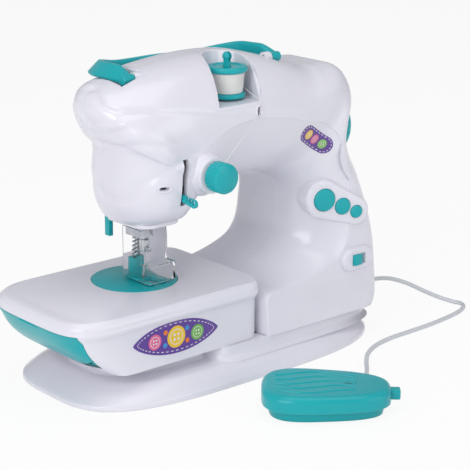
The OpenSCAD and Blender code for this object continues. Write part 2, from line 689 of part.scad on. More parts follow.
FRAME_T = 3;
frame_x = needle_x - 12;
lug_low = head_bottom + 7;
lug_high = yoke_z + stroke + 8;
LUG_H = 5;
module needle_frame() {
    color(DARK) difference() {
        union() {
            box_at(frame_x, frame_x + FRAME_T, -8, 3.6, head_bottom, lug_high + LUG_H);
            for (z = [lug_low, lug_high]) box_at(frame_x + 1, needle_x + 4, -3.6, 3.6, z, z + LUG_H);
            box_at(frame_x - 6, frame_x + 1, -8, 3.6, head_bottom, head_bottom + 3);
        }
        translate([needle_x, 0, 0]) cylinder(d = needle_bar_d + 2 * run, h = 300);
    }
}

// Drive train
module bearing_plates() {
    color(DARK) {
        for (i = [0, 1]) difference() {
            box_at(bush_x[i] + 2, bush_x[i] + bush_w - 2, -bush_r - 4, rear_inner - i * REAR_STEP,
                shaft_z - 10, shaft_z + 10);
            at_shaft(bush_x[i], shaft_z) cylinder(r = bush_r, h = bush_w);
        }
        difference() {
            union() {
                box_at(gear_x - 4, gear_x - 1.5, motor_y - 11, motor_y + 11, motor_z - 11, motor_z + 11);
                box_at(gear_x - 4, gear_x - 1.5, motor_y, rear_inner - REAR_STEP, motor_z - 16,
                    motor_z - 6);
            }
            at_shaft(gear_x - 5, motor_z) translate([0, motor_y, 0]) cylinder(r = 3.4, h = 6);
        }
    }
}
module shaft_bushes() {
    color(BRASS) for (x = bush_x) difference() {
        at_shaft(x, shaft_z) cylinder(r = bush_r, h = bush_w);
        at_shaft(x - 1, shaft_z) cylinder(d = shaft_d + 2 * run, h = bush_w + 2);
    }
}
PINION_D = 2;
module motor() {
    color(STEEL) at_shaft(gear_x - 4 - motor_len, motor_z) translate([0, motor_y, 0]) difference() {
        union() {
            intersection() {
                cylinder(r = motor_r, h = motor_len);
                translate([-7.6, -motor_r, 0]) cube([15.2, 2 * motor_r, motor_len]);
            }
            cylinder(r = 3.4, h = motor_len + 2);
        }
        translate([0, 0, motor_len - 6]) cylinder(d = PINION_D + 2 * run, h = 10);
    }
}
function gear_outline(teeth, r) = [for (i = [0:teeth - 1], k = [[-0.32, -1.15], [-0.11, 0.9],
    [0.11, 0.9], [0.32, -1.15]])
    let (a = 360 * (i + k[0]) / teeth, q = r + k[1] * gear_module) [q * cos(a), q * sin(a)]];
module gear(teeth, r, w, bore) {
    linear_extrude(w) difference() {
        polygon(gear_outline(teeth, r));
        circle(d = bore);
    }
}
module motor_pinion() {
    color(BRASS) at_shaft(gear_x - 1, motor_z) translate([0, motor_y, 0]) {
        rotate(180 - MOTOR_LEAN) gear(pinion_teeth, pinion_r, gear_w + 1.5, PINION_D);
        translate([0, 0, -7]) cylinder(d = PINION_D, h = gear_w + 8.5);
    }
}
module main_gear() {
    color(WHITE) at_shaft(gear_x, shaft_z) rotate(-MOTOR_LEAN + 180 / gear_teeth) difference() {
        gear(gear_teeth, gear_r, gear_w, shaft_d);
        for (a = [0:60:300]) rotate(a) translate([gear_r * 0.58, 0, -1]) cylinder(r = gear_r * 0.18,
            h = gear_w + 2);
    }
}
module main_shaft() {
    color(STEEL) at_shaft(shaft_left, shaft_z) cylinder(d = shaft_d, h = wheel_x + 8 - shaft_left);
}
module pulley(d) {
    rotate_extrude() polygon([[d / 2, 0], [pulley_r + 2, 0], [pulley_r + 2, 0.8], [pulley_r, 1.2],
        [pulley_r, pulley_w - 1.2], [pulley_r + 2, pulley_w - 0.8], [pulley_r + 2, pulley_w],
            [d / 2, pulley_w]]);
}
module upper_pulley() { color(DARK) at_shaft(pulley_x, shaft_z) pulley(shaft_d); }
module lower_pulley() { color(DARK) at_shaft(pulley_x, lower_z) pulley(lower_d); }
BELT_T = 1.4;
module drive_belt() {
    color(DARK) at_shaft(pulley_x + 1.6, 0) linear_extrude(pulley_w - 3.2) difference() {
        belt_outline(pulley_r + 0.1 + BELT_T);
        belt_outline(pulley_r + 0.1);
    }
}
module belt_outline(r) {
    for (z = [shaft_z, lower_z]) translate([-z, 0]) circle(r);
    translate([-shaft_z, -r]) square([shaft_z - lower_z, 2 * r]);
}
module crank_disc() {
    color(WHITE) at_shaft(shaft_left - crank_w, shaft_z) difference() {
        union() {
            cylinder(r = crank_disc_r, h = crank_w);
            translate([0, 0, crank_w]) cylinder(r = shaft_d / 2 + 2.5, h = 5);
        }
        translate([0, 0, crank_w / 2]) cylinder(d = shaft_d, h = 20);
        translate([crank_r, 0, -1]) cylinder(r = crank_pin_r, h = crank_w);
    }
    color(STEEL) at_shaft(shaft_left - crank_w, shaft_z) translate([crank_r, 0, 0])
        cylinder(r = crank_pin_r, h = crank_w - 1);
}
module handwheel() {
    color(TEAL) at_shaft(wheel_x, shaft_z) difference() {
        union() {
            rotate_extrude() polygon(concat([[shaft_d / 2, 1], [wheel_r - 2, 1], [wheel_r, 3]],
                [for (a = [0:15:75]) [wheel_r - 5 + 5 * cos(a), wheel_w - 5 + 5 * sin(a)]],
                [[wheel_r * 0.6, wheel_w], [wheel_r * 0.5, wheel_w - 2], [shaft_d / 2, wheel_w - 2]]));
        }
        for (i = [0:17]) rotate(20 * i) translate([wheel_r + 0.6, 0, 0]) cylinder(r = 1.4, h = wheel_w + 2);
    }
}

// Lower shaft
module lower_shaft() {
    color(STEEL) at_shaft(hook_x + 3, lower_z) cylinder(d = lower_d, h = lower_bush_x[2] + 9 - hook_x);
}
module lower_bearings() {
    color(DARK) for (i = [0:2]) let (x = lower_bush_x[i], foot = i == 0 ? neck_h + wall : skirt_h)
        difference() {
        box_at(x, x + 6, -7, 7, foot, lower_z + 7);
        at_shaft(x - 1, lower_z) cylinder(d = lower_d + 2 * run, h = 8);
    }
}
module looper_hook() {
    color(STEEL) at_shaft(hook_x, lower_z) difference() {
        union() {
            cylinder(r = 11, h = 3);
            cylinder(r = lower_d / 2 + 2.5, h = 9);
        }
        translate([0, 0, 3]) cylinder(d = lower_d, h = 20);
        translate([3, -1.5, -1]) cube([12, 14, 5]);
    }
}

// Needle bar
bar_foot = bed_top + 20;
bar_head = lug_high + LUG_H + 4;
module needle_bar() {
    color(STEEL) translate([needle_x, 0, bar_foot + 4]) cylinder(d = needle_bar_d,
        h = bar_head - bar_foot - 4);
}
module needle_yoke() {
    slot_half = crank_r + crank_pin_r + 0.5;
    color(WHITE) difference() {
        union() {
            box_at(needle_x - 4.5, yoke_right, -4.5, 4.5, yoke_z - 6, yoke_z + 6);
            box_at(yoke_right - yoke_t, yoke_right, -slot_half - 4, slot_half + 4, yoke_z - 6, yoke_z + 6);
        }
        box_at(yoke_right - yoke_t, yoke_right + 1, -slot_half, slot_half, yoke_z - crank_pin_r - 0.3,
            yoke_z + crank_pin_r + 0.3);
        translate([needle_x, 0, 0]) cylinder(d = needle_bar_d, h = 300);
    }
}

module take_up_lever() {
    color(TEAL) difference() {
        union() {
            translate([needle_x, 0, take_z]) cylinder(r = needle_bar_d / 2 + 2.2, h = TAKE_H);
            translate([needle_x - TAKE_T / 2, 0, 0]) rotate([90, 0, -90]) mirror([0, 0, 1])
                linear_extrude(TAKE_T) {
                polygon([[0, take_z], [0, take_z + TAKE_H], [take_reach - 16, take_z + TAKE_H],
                    [take_reach - 3, take_z + 3.4], [take_reach - 3, take_z - 2.2],
                        [take_reach - 16, take_z]]);
                translate([take_reach - 3, take_z + 0.6]) circle(2.8);
            }
        }
        translate([needle_x, 0, 0]) cylinder(d = needle_bar_d, h = 300);
        for (d = [3, 6, 9]) translate([needle_x, -take_reach + d, take_z - 0.4 + d * 0.22])
            rotate([0, 90, 0])
            translate([-1.2, 0, -5]) cylinder(r = 1.5, h = 10);
    }
}
module needle_clamp() {
    color(STEEL) difference() {
        translate([needle_x, 0, bar_foot]) cylinder(r = clamp_r, h = 8);
        translate([needle_x, 0, bar_foot + 4]) cylinder(d = needle_bar_d, h = 8);
        translate([needle_x, 0, bar_foot - 1]) cylinder(d = 1.2, h = 6);
        along_y(needle_x, 0, bar_foot + 2.4) cylinder(d = 1.8, h = 8);
    }
}
module clamp_screw() {
    color(STEEL) along_y(needle_x, -1.2, bar_foot + 2.4) {
        cylinder(d = 1.8, h = clamp_r - 1.2);
        translate([0, 0, clamp_r - 1.2]) cylinder(d = 3, h = 2.4);
    }
}
module needle() {
    color(STEEL) translate([needle_x, 0, bed_top - 8]) {
        translate([0, 0, 3]) cylinder(d = 1.2, h = bar_foot + 4 - bed_top + 5);
        cylinder(d1 = 0.2, d2 = 1.2, h = 3);
    }
}

// Presser
foot_z = bed_top + 0.8;
SOLE_T = 2.6;
shank_top = boss_foot - presser_lift - 10;
module presser_bar() {
    color(STEEL) translate([needle_x, presser_y, shank_top - 6]) cylinder(d = presser_bar_d,
        h = head_bottom + 6 - shank_top + 6);
}
module presser_foot() {
    color(TEAL) difference() {
        union() {
            box_at(guard_x[0] + guard_t + 1, needle_x + 7, -3.4, presser_y + 3.4, foot_z, foot_z + SOLE_T);
            for (s = [-1, 1]) box_at(needle_x + s * 5 - 2, needle_x + s * 5 + 2,
                guard_front + guard_t + 1, 0, foot_z, foot_z + SOLE_T - 0.6);
            box_at(needle_x - 4, needle_x + 3.4, presser_y - 2.6, presser_y + 3.4, foot_z, shank_top);
        }
        translate([needle_x, presser_y, shank_top - 6]) cylinder(d = presser_bar_d, h = 20);
        translate([needle_x, 0, foot_z - 1]) cylinder(d = 4, h = 10);
    }
}
SPRING_WIRE = 0.8;
spring_r = 2.7;
SPRING_TURNS = 6;
SEAT_GAP = 0.1;
CURL_RINGS = 8;
presser_coil = coil_path(spring_r, spring_r, shank_top + SEAT_GAP, boss_foot - SEAT_GAP, SPRING_TURNS,
    CURL_RINGS, SPRING_WIRE);
echo(presser_spring_gap = turn_gap(presser_coil, CURL_RINGS, SPRING_WIRE));
module presser_spring() {
    color(BRASS) translate([needle_x, presser_y, 0]) tube(presser_coil, SPRING_WIRE / 2, 6, true);
}
module lift_tab() {
    hub = head_bottom + fit + 0.4;
    color(TEAL) difference() {
        union() {
            translate([needle_x, presser_y, hub]) cylinder(r = presser_bar_d / 2 + 1.2, h = 3);
            box_at(tab_at.x - TAB_SIZE.x / 2, needle_x, presser_y + 0.6, tab_at.y + TAB_SIZE.y / 2,
                hub, hub + 2);
            box_at(tab_at.x - TAB_SIZE.x / 2, tab_at.x + TAB_SIZE.x / 2, tab_at.y - TAB_SIZE.y / 2,
                tab_at.y + TAB_SIZE.y / 2,
                boss_foot - 3, hub + 2);
        }
        translate([needle_x, presser_y, 0]) cylinder(d = presser_bar_d, h = 300);
    }
}

// Thread, spool and tension
module spool_well() {
    color(WHITE) intersection() {
        difference() {
            well_shape(well_r + wall, well_floor - wall);
            well_shape(well_r, well_floor);
        }
        body_form();
    }
}
pin_top = well_floor + 32;
module spool_pin() {
    color(TEAL) translate([spool_x, spool_y, well_floor]) difference() {
        union() {
            cylinder(r = 6, h = 1.2);
            cylinder(d = spool_pin_d, h = pin_top - well_floor - 3);
            translate([0, 0, pin_top - well_floor - 3.2]) sphere(r = 3.2);
        }
        translate([-0.7, -5, pin_top - well_floor - 7]) cube([1.4, 10, 20]);
    }
}
SPOOL_FOOT = 1.5;
SPOOL_H = 21;
spool_low_r = flange_r - 1.4;
core_r = [flange_r - 4, flange_r - 2.8];
thread_z = [well_floor + SPOOL_FOOT + 3, well_floor + SPOOL_FOOT + SPOOL_H - 4];
module thread_spool() {
    h = SPOOL_H;
    color(TEAL) translate([spool_x, spool_y, well_floor + SPOOL_FOOT]) rotate_extrude()
        polygon([[spool_pin_d / 2 + run, 0],
        [spool_low_r, 0], [spool_low_r, 2.6], [core_r[0], 3], [core_r[1], h - 4],
            [flange_r - 1, h - 4], [flange_r, h - 3],
        [flange_r, h - 1], [flange_r - 1, h], [flange_r - 3, h], [flange_r - 4, h - 1],
            [spool_pin_d / 2 + run, h - 1]]);
}
THREAD_RINGS = 24;
thread_lift = strand_d / 2 + 0.2;
thread_coil = coil_path(core_r[0] + thread_lift + 0.05, core_r[1] + thread_lift - 0.05,
    thread_z[0] + SEAT_GAP,
    thread_z[1] - SEAT_GAP, thread_loops, THREAD_RINGS, strand_d);
echo(spool_thread_gap = turn_gap(thread_coil, THREAD_RINGS, strand_d));
module spool_thread() {
    color("white") translate([spool_x, spool_y, 0]) tube(thread_coil, strand_d / 2, 6, true);
}
THREAD_D = 0.6;
DISC_T = 0.4;
DISC_GAP = 0.7;
thread_path = [[guide_at.x, -half + 1.5, guide_at.y - 1], [guide_at.x, -half - 0.8, guide_at.y - 1.6],
    [guide_at.x - 3, -half - 1.4, guide_at.y - 4], [knob_at.x + 8, -collar_face - 0.9, knob_at.y + 7.6],
    [knob_at.x + 4, -collar_face - DISC_T - DISC_GAP / 2, knob_at.y + 4.6]];
module thread_run() {
    color("white") tube(thread_path, THREAD_D / 2, 6);
}
module tension_post() {
    color(STEEL) along_y(knob_at.x, -collar_face + wall + 2, knob_at.y) {
        cylinder(d = post_d, h = wall + 12);
        cylinder(r = collar_r - wall - fit, h = 2);
    }
}
module tension_discs() {
    color(STEEL) for (i = [0, 1]) along_y(knob_at.x, -collar_face - i * (DISC_T + DISC_GAP), knob_at.y)
        difference() {
        cylinder(r = knob_r - 2.4, h = DISC_T);
        translate([0, 0, -1]) cylinder(d = post_d, h = 4);
    }
}
KNOB_H = 11;
module tension_knob() {
    color(TEAL) along_y(knob_at.x, -collar_face - 2, knob_at.y) difference() {
        rotate_extrude() polygon([[post_d / 2 + run, 0], [knob_r, 0], [knob_r, KNOB_H - 2],
            [knob_r - 0.6, KNOB_H - 0.6],
            [knob_r - 2, KNOB_H], [0, KNOB_H], [0, KNOB_H - 2], [post_d / 2 + run, KNOB_H - 2]]);
        for (i = [0:23]) rotate(15 * i) translate([knob_r + 0.45, 0, 1]) cylinder(r = 0.8, h = KNOB_H);
    }
}

// Carry handle
module handle_lugs() {
    color(WHITE) difference() {
        union() {
            difference() {
                intersection() {
                    for (i = [0, 1]) arm_seat(i, seat_z - wall, wall);
                    body_form();
                }
                for (i = [0, 1]) arm_seat(i, seat_z, 0);
            }
            for (x = lug_x) {
                box_at(x, x + LUG_W, lug_y - LUG_R, lug_y + LUG_R, seat_z - wall / 2, lug_z);
                at_shaft(x, lug_z) translate([0, lug_y, 0]) cylinder(r = LUG_R, h = LUG_W);
            }
        }
        for (x = lug_x) at_shaft(x - 1, lug_z) translate([0, lug_y, 0])
            cylinder(d = pivot_d + 2 * run, h = LUG_W + 2);
    }
}
// The handle's section at its pivots and along its grip, inwards and up, outer edge first
PIVOT_SECTION = [[-4.5, 1.3], [-3, 2.8], [3, 2.8], [4.5, 1.3], [4.5, -1.3], [3, -2.8], [-3, -2.8],
    [-4.5, -1.3]];
GRIP_SECTION = [[-6, -2.6], [1.2, 5], [3.6, 5], [4.5, 4.1], [4.5, -3.7], [3.7, -4.5], [-5, -4.5],
    [-6, -3.6]];
PATH_STEPS = 3;
handle_path = smooth([[arm_x[0], lug_y, lug_z], [arm_x[0] - 0.5, 0, lug_z + 2.7],
    [arm_x[0] - 0.5, 11, lug_z + 3], [arm_x[0] + 1.4, 22, lug_z + 2.4], [arm_x[0] + 9.5, 33.5, lug_z + 1.2],
    [-42, 39, lug_z - 2], [-8, 41.5, lug_z - 2.5], [24, 40, lug_z - 3], [arm_x[1] - 12, 34.5, lug_z - 0.6],
    [arm_x[1] - 2, 23, lug_z + 2], [arm_x[1] + 0.5, 11, lug_z + 2.5], [arm_x[1] + 0.5, 0, lug_z + 2.7],
    [arm_x[1], lug_y, lug_z]], PATH_STEPS);
function bar_ring(path, i) = let (d = heading(path, i), u = unit([d.y, -d.x, 0]),
    s = min(1, i / PATH_STEPS, (len(path) - 1 - i) / PATH_STEPS), k = handle_w / 9)
    [for (q = (1 - s) * PIVOT_SECTION + s * GRIP_SECTION) path[i] + u * q[0] * k + [0, 0, q[1]]];
module carry_handle() {
    last = len(handle_path) - 1;
    color(TEAL) {
        loft([for (i = [0:last]) bar_ring(handle_path, i)]);
        for (i = [0, 1]) {
            at_shaft(arm_x[i] - handle_w / 2, lug_z) translate([0, lug_y, 0])
                cylinder(r = EYE_R, h = handle_w);
            at_shaft(lug_x[i] + (i == 0 ? -fit - 1 : fit), lug_z) translate([0, lug_y, 0])
                cylinder(d = pivot_d, h = LUG_W + 1);
        }
    }
}

// Buttons, switch and their board
module button(i) {
    color(TEAL) on_boss() along_y(button_along[i], 0, button_z[i]) {
        translate([0, 0, -1.6]) cylinder(r = button_r[i], h = 3.6 + BUTTON_PROUD - 1);
        translate([0, 0, 2 + BUTTON_PROUD - 1]) cylinder(r1 = button_r[i], r2 = button_r[i] - 1, h = 1);
        translate([0, 0, -2.8]) cylinder(r = button_r[i] + BUTTON_RIM, h = 2.6 - fit);
        translate([0, 0, -4.4]) cylinder(r = 2, h = 4);
    }
}
module button_large() { button(0); }
module button_medium() { button(1); }
module button_small() { button(2); }
module button_board() {
    on_boss() {
        color([0.15, 0.42, 0.25]) slab(board_y, board_y + BOARD_T) boss_outline(-wall);
        color(DARK) for (i = [0:2]) box_at(button_along[i] - 3, button_along[i] + 3,
            4.6 + button_travel, board_y,
            button_z[i] - 3, button_z[i] + 3);
    }
}
module slide_switch() {
    x = switch_at.x - switch_travel / 2;
    color(TEAL) {
        box_at(x - SWITCH_W / 2, x + SWITCH_W / 2, -switch_face - 2.4, -switch_face + wall + 1.5,
            switch_at.y - 3.7, switch_at.y + 3.7);
        box_at(x - 4.4, x + 4.4, -switch_face + wall + fit, -switch_face + wall + 2, switch_at.y - 5.5,
            switch_at.y + 5.5);
    }
}

// Lead and its grommet
pedal_cord_u = 26;
pedal_cord_w = 15;
pedal_cord_z = 3.6;
PEDAL_AT = [-5.5, -132.5];
PEDAL_TURN = -43;
RELIEF_LEN = 12;
CORD_EASE = 0.4;
module cord_grommets() {
    color(LEAD) translate([column_right, grommet_at.x, grommet_at.y]) rotate([0, 90, 0]) difference() {
        union() {
            translate([0, 0, -13]) cylinder(r = GROMMET_R + 1.6, h = 2);
            translate([0, 0, -11.2]) cylinder(r = GROMMET_R, h = 12);
            translate([0, 0, 0.6]) cylinder(r1 = GROMMET_R, r2 = cord_d / 2 + 0.6, h = RELIEF_LEN);
        }
        translate([0, 0, 8]) cylinder(d = cord_d + CORD_EASE, h = 20);
    }
    color(LEAD) on_pedal() along_y(pedal_cord_u, pedal_cord_w + 7, pedal_cord_z) difference() {
        cylinder(r1 = cord_d / 2 + 0.4, r2 = cord_d / 2 + 0.7, h = 7);
        translate([0, 0, -1]) cylinder(d = cord_d + CORD_EASE, h = 7);
    }
}
cord_start = [column_right + 8, grommet_at.x, grommet_at.y];
cord_route = [cord_start, [154, -22.5, 26.6], [168, -24.5, 24.4], [183, -28.5, 18.5], [196, -34, 11],
    [207, -40, 5],
    [214, -47.5, 2], [216, -55, 1.8], [211, -62, 1.8], [199, -67, 1.8], [182, -70, 1.8],
        [161, -72, 1.8], [140, -72.5, 1.8],
    [119, -73, 1.8], [100, -76.5, 1.8], [84, -84, 1.8], [72, -94, 1.8], [59, -107, 2], [46, -118, 2.8]];
cord_points = smooth(concat(cord_route, [for (w = [pedal_cord_w + 8, pedal_cord_w + 1])
    pedal_point([pedal_cord_u, w, pedal_cord_z])]), 3);
function pedal_point(p) = [PEDAL_AT.x + p.x * cos(PEDAL_TURN) - p.y * sin(PEDAL_TURN),
    PEDAL_AT.y + p.x * sin(PEDAL_TURN) + p.y * cos(PEDAL_TURN), p.z];
module pedal_cord() {
    color(LEAD) tube(cord_points, cord_d / 2, 8);
}

// Pedal
PEDAL_WALL = 2;
PEDAL_GAP = 1;
pedal_skirt = 7;
pedal_pivot = [pedal_len / 2 - 12, 9];
base_top = pedal_h - 8;
function pedal_outline(t) = [for (i = [0:OVAL_SIDES - 1])
    let (c = power(cos(360 * i / OVAL_SIDES), PEDAL_POWER),
    s = power(sin(360 * i / OVAL_SIDES), PEDAL_POWER)) [(pedal_len / 2 - t) * c,
        (pedal_depth / 2 - 5 * (c + 0.2) - t) * s]];
module on_pedal() { translate([PEDAL_AT.x, PEDAL_AT.y, 0]) rotate([0, 0, PEDAL_TURN]) children(); }
module pedal_hull(z0, z1, t0, t1) { loft([lift(pedal_outline(t0), z0), lift(pedal_outline(t1), z1)]); }
pin_half = pedal_depth / 2 - 14;
module pedal_base() {
    in = PEDAL_WALL + PEDAL_GAP;
    color(TEAL) on_pedal() difference() {
        union() {
            difference() {
                pedal_hull(0, base_top, in + 2, in);
                pedal_hull(PEDAL_WALL, pedal_h, in + PEDAL_WALL + 1.8, in + PEDAL_WALL);
            }
            for (s = [-1, 1]) box_at(pedal_pivot.x - 3, pedal_pivot.x + 3, s * (pin_half - 4) - 1.5,
                s * (pin_half - 4) + 1.5,
                PEDAL_WALL / 2, pedal_pivot[1] + 3);
        }
        along_y(pedal_pivot.x, pin_half, pedal_pivot[1]) cylinder(d = pivot_d - 1, h = 2 * pin_half);
        along_y(pedal_cord_u, pedal_cord_w + 7, pedal_cord_z) cylinder(r1 = cord_d / 2 + 0.4,
            r2 = cord_d / 2 + 0.7, h = 7);
    }
}
module pedal_plate() {
    color(TEAL) on_pedal() difference() {
        union() {
            difference() {
                union() {
                    pedal_hull(pedal_skirt, pedal_h - 2, 0, 0);
                    pedal_hull(pedal_h - 2, pedal_h, 0, 2.5);
                    box_at(pedal_len / 2 - 3, pedal_len / 2 + 6, -3.5, 3.5, pedal_skirt + 1, pedal_h - 3);
                }
                pedal_hull(pedal_skirt - 1, pedal_h - PEDAL_WALL - 1, PEDAL_WALL, PEDAL_WALL + 1);
            }
            for (s = [-1, 1]) box_at(pedal_pivot.x - 2.6, pedal_pivot.x + 2.6,
                s * (pin_half - 8) - 1.5, s * (pin_half - 8) + 1.5,
                pedal_pivot[1] - 2.6, pedal_h - 2);
        }
        along_y(pedal_pivot.x, pin_half, pedal_pivot[1]) cylinder(d = pivot_d - 1 + 2 * run,
            h = 2 * pin_half);
    }
}
module pedal_pin() {
    color(STEEL) on_pedal() along_y(pedal_pivot.x, pin_half - 2.5, pedal_pivot[1])
        cylinder(d = pivot_d - 1, h = 2 * pin_half - 5);
}
PEDAL_WIRE = 1;
PEDAL_COIL_R = 4;
PEDAL_TURNS = 4;
pedal_coil_x = -pedal_len * 0.21;
pedal_coil = coil_path(PEDAL_COIL_R, PEDAL_COIL_R, PEDAL_WALL + SEAT_GAP,
    pedal_h - PEDAL_WALL - 1 - SEAT_GAP,
    PEDAL_TURNS, CURL_RINGS, PEDAL_WIRE);
echo(pedal_spring_gap = turn_gap(pedal_coil, CURL_RINGS, PEDAL_WIRE));
module pedal_spring() {
    color(STEEL) on_pedal() translate([pedal_coil_x, 0, 0]) tube(pedal_coil, PEDAL_WIRE / 2, 6, true);
}
module pedal_switch() {
    color(DARK) on_pedal() {
        box_at(-6, 6, -4, 4, PEDAL_WALL, PEDAL_WALL + 5);
        translate([0, 0, PEDAL_WALL + 5]) cylinder(r = 1.6, h = 5);
    }
}

base_skirt();
base_plate();
battery_door();
battery_box();
batteries();
bed_shell();
drawer();
needle_plate();
front_shell();
rear_shell();
casing_screws();
head_floor();
needle_guard();
needle_frame();
bearing_plates();
shaft_bushes();
motor();
motor_pinion();
main_gear();
main_shaft();
upper_pulley();
crank_disc();
handwheel();
drive_belt();
lower_shaft();
lower_pulley();
looper_hook();
lower_bearings();
needle_bar();
needle_yoke();
take_up_lever();
needle_clamp();
clamp_screw();
needle();
presser_bar();
presser_foot();
presser_spring();
lift_tab();
spool_well();
spool_pin();
thread_spool();
spool_thread();
thread_run();
tension_post();
tension_discs();
tension_knob();
handle_lugs();
carry_handle();
button_large();
button_medium();
button_small();
button_board();
slide_switch();
cord_grommets();
pedal_cord();
pedal_base();
pedal_plate();
pedal_pin();
pedal_spring();
pedal_switch();
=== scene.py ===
import json
import math

import bmesh
import bpy
import numpy as np
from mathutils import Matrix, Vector
from mathutils.bvhtree import BVHTree


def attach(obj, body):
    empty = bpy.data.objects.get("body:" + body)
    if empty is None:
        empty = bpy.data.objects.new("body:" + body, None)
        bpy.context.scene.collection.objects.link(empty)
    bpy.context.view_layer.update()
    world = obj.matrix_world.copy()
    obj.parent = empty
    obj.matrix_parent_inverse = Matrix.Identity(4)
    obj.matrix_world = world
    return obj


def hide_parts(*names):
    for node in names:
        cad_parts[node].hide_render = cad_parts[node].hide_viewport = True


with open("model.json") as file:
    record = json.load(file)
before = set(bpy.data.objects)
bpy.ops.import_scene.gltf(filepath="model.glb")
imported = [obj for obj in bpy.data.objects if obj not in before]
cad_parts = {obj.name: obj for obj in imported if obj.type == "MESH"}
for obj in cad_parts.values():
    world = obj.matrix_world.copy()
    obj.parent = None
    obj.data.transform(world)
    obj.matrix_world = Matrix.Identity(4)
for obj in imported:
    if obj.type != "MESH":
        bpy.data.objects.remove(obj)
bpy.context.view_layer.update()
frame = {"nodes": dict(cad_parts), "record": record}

MM = 0.001
scene = bpy.context.scene
scene.view_settings.view_transform = "Standard"


# Camera, floor and light
CAM_TURN, CAM_DIP, CAM_TARGET, CAM_DISTANCE = 40, 16, (-0.010, -0.006, 0.105), 1.1


def look(az, el, target, dist):
    """Where a camera stands and which way it looks, for a target seen at these angles in degrees."""
    a, e = math.radians(az), math.radians(el)
    d = Vector((math.sin(a) * math.cos(e), math.cos(a) * math.cos(e), -math.sin(e)))
    return Vector(target) - d * dist, d


cam_data = bpy.data.cameras.new("camera")
cam = bpy.data.objects.new("camera", cam_data)
scene.collection.objects.link(cam)
cam.location, way = look(CAM_TURN, CAM_DIP, CAM_TARGET, CAM_DISTANCE)
cam.rotation_euler = way.to_track_quat("-Z", "Y").to_euler()
cam_data.sensor_width = 36
cam_data.lens = 122.55
cam_data.shift_x = 0.0851
cam_data.shift_y = -0.0468
cam_data.clip_end = 20
scene.camera = cam


def link(ob):
    scene.collection.objects.link(ob)
    return ob


def nodes_of(mat):
    mat.use_nodes = True
    tree = mat.node_tree
    return tree, tree.nodes["Principled BSDF"]


def feed(tree, node, *values):
    """Feeds a node's first inputs, each from an output socket or with a number."""
    for socket, value in zip(node.inputs, values):
        if isinstance(value, float):
            socket.default_value = value
        else:
            tree.links.new(value, socket)
    return node.outputs[0]


def math_node(tree, how, a, b):
    node = tree.nodes.new("ShaderNodeMath")
    node.operation = how
    return feed(tree, node, a, b)


def mix_surface(tree, share, first, second, output):
    """The output goes from the first shader to the second as share goes from 0 to 1."""
    mixer = tree.nodes.new("ShaderNodeMixShader")
    tree.links.new(feed(tree, mixer, share, first, second), tree.nodes[output].inputs["Surface"])


# The floor takes shadows, but shows nearly plain white to the camera, to glossy and to clear rays
FLOOR_HALF, FLOOR_DROP, FLOOR_GLOW = 6, 0.0004, 0.9
floor_mesh = bpy.data.meshes.new("floor")
corners = [(x * FLOOR_HALF, y * FLOOR_HALF, 0) for x, y in ((-1, -1), (1, -1), (1, 1), (-1, 1))]
floor_mesh.from_pydata(corners, [], [(0, 1, 2, 3)])
floor = link(bpy.data.objects.new("floor", floor_mesh))
floor.location.z = -FLOOR_DROP
floor_mat = bpy.data.materials.new("floor_paper")
tree, bsdf = nodes_of(floor_mat)
bsdf.inputs["Base Color"].default_value = (0.93, 0.93, 0.94, 1)
bsdf.inputs["Roughness"].default_value = 0.9
glow = tree.nodes.new("ShaderNodeEmission")
glow.inputs["Color"].default_value = (1, 1, 1, 1)
path = tree.nodes.new("ShaderNodeLightPath").outputs
bent = math_node(tree, "MAXIMUM", path["Is Glossy Ray"], path["Is Transmission Ray"])
seen = math_node(tree, "MAXIMUM", path["Is Camera Ray"], bent)
share = math_node(tree, "MULTIPLY", seen, FLOOR_GLOW)
mix_surface(tree, share, bsdf.outputs[0], glow.outputs[0], "Material Output")
floor_mesh.materials.append(floor_mat)

# The sky lights softly and shows white to the camera
world = bpy.data.worlds.new("studio")
scene.world = world
world.use_nodes = True
tree = world.node_tree
sky = tree.nodes["Background"]
sky.inputs["Color"].default_value = (0.93, 0.94, 1.0, 1)
sky.inputs["Strength"].default_value = 0.42
white = tree.nodes.new("ShaderNodeBackground")
white.inputs["Color"].default_value = (1, 1, 1, 1)
white.inputs["Strength"].default_value = 1.0
path = tree.nodes.new("ShaderNodeLightPath").outputs
mix_surface(tree, path["Is Camera Ray"], sky.outputs[0], white.outputs[0], "World Output")


def lamp(name, loc, target, size, power, size_y=None):
    data = bpy.data.lights.new(name, "AREA")
    data.shape = "RECTANGLE"
    data.size = size
    data.size_y = size_y or size
    data.energy = power
    ob = link(bpy.data.objects.new(name, data))
    ob.location = loc
    ob.rotation_euler = (Vector(target) - Vector(loc)).to_track_quat("-Z", "Y").to_euler()


lamp("top_softbox", (-0.1, -0.2, 1.3), (0, 0, 0.1), 1.2, 4.8, 0.9)
lamp("left_softbox", (-1.2, -0.5, 0.6), (0, 0, 0.12), 0.8, 7.8)
lamp("front_softbox", (0.5, -1.4, 0.5), (0, 0, 0.12), 0.9, 3.8)


# Materials
ROUGH_SPREAD, LEAST_ROUGH, GRAIN_HEIGHT, COAT_ROUGH = 0.03, 0.02, 0.0004, 0.07


def noise(tree, scale, detail=2.0):
    """Noise in the object's own coordinates."""
    coord = tree.nodes.new("ShaderNodeTexCoord")
    node = tree.nodes.new("ShaderNodeTexNoise")
    node.inputs["Scale"].default_value = scale
    node.inputs["Detail"].default_value = detail
    tree.links.new(coord.outputs["Object"], node.inputs["Vector"])
    return node.outputs["Fac"]


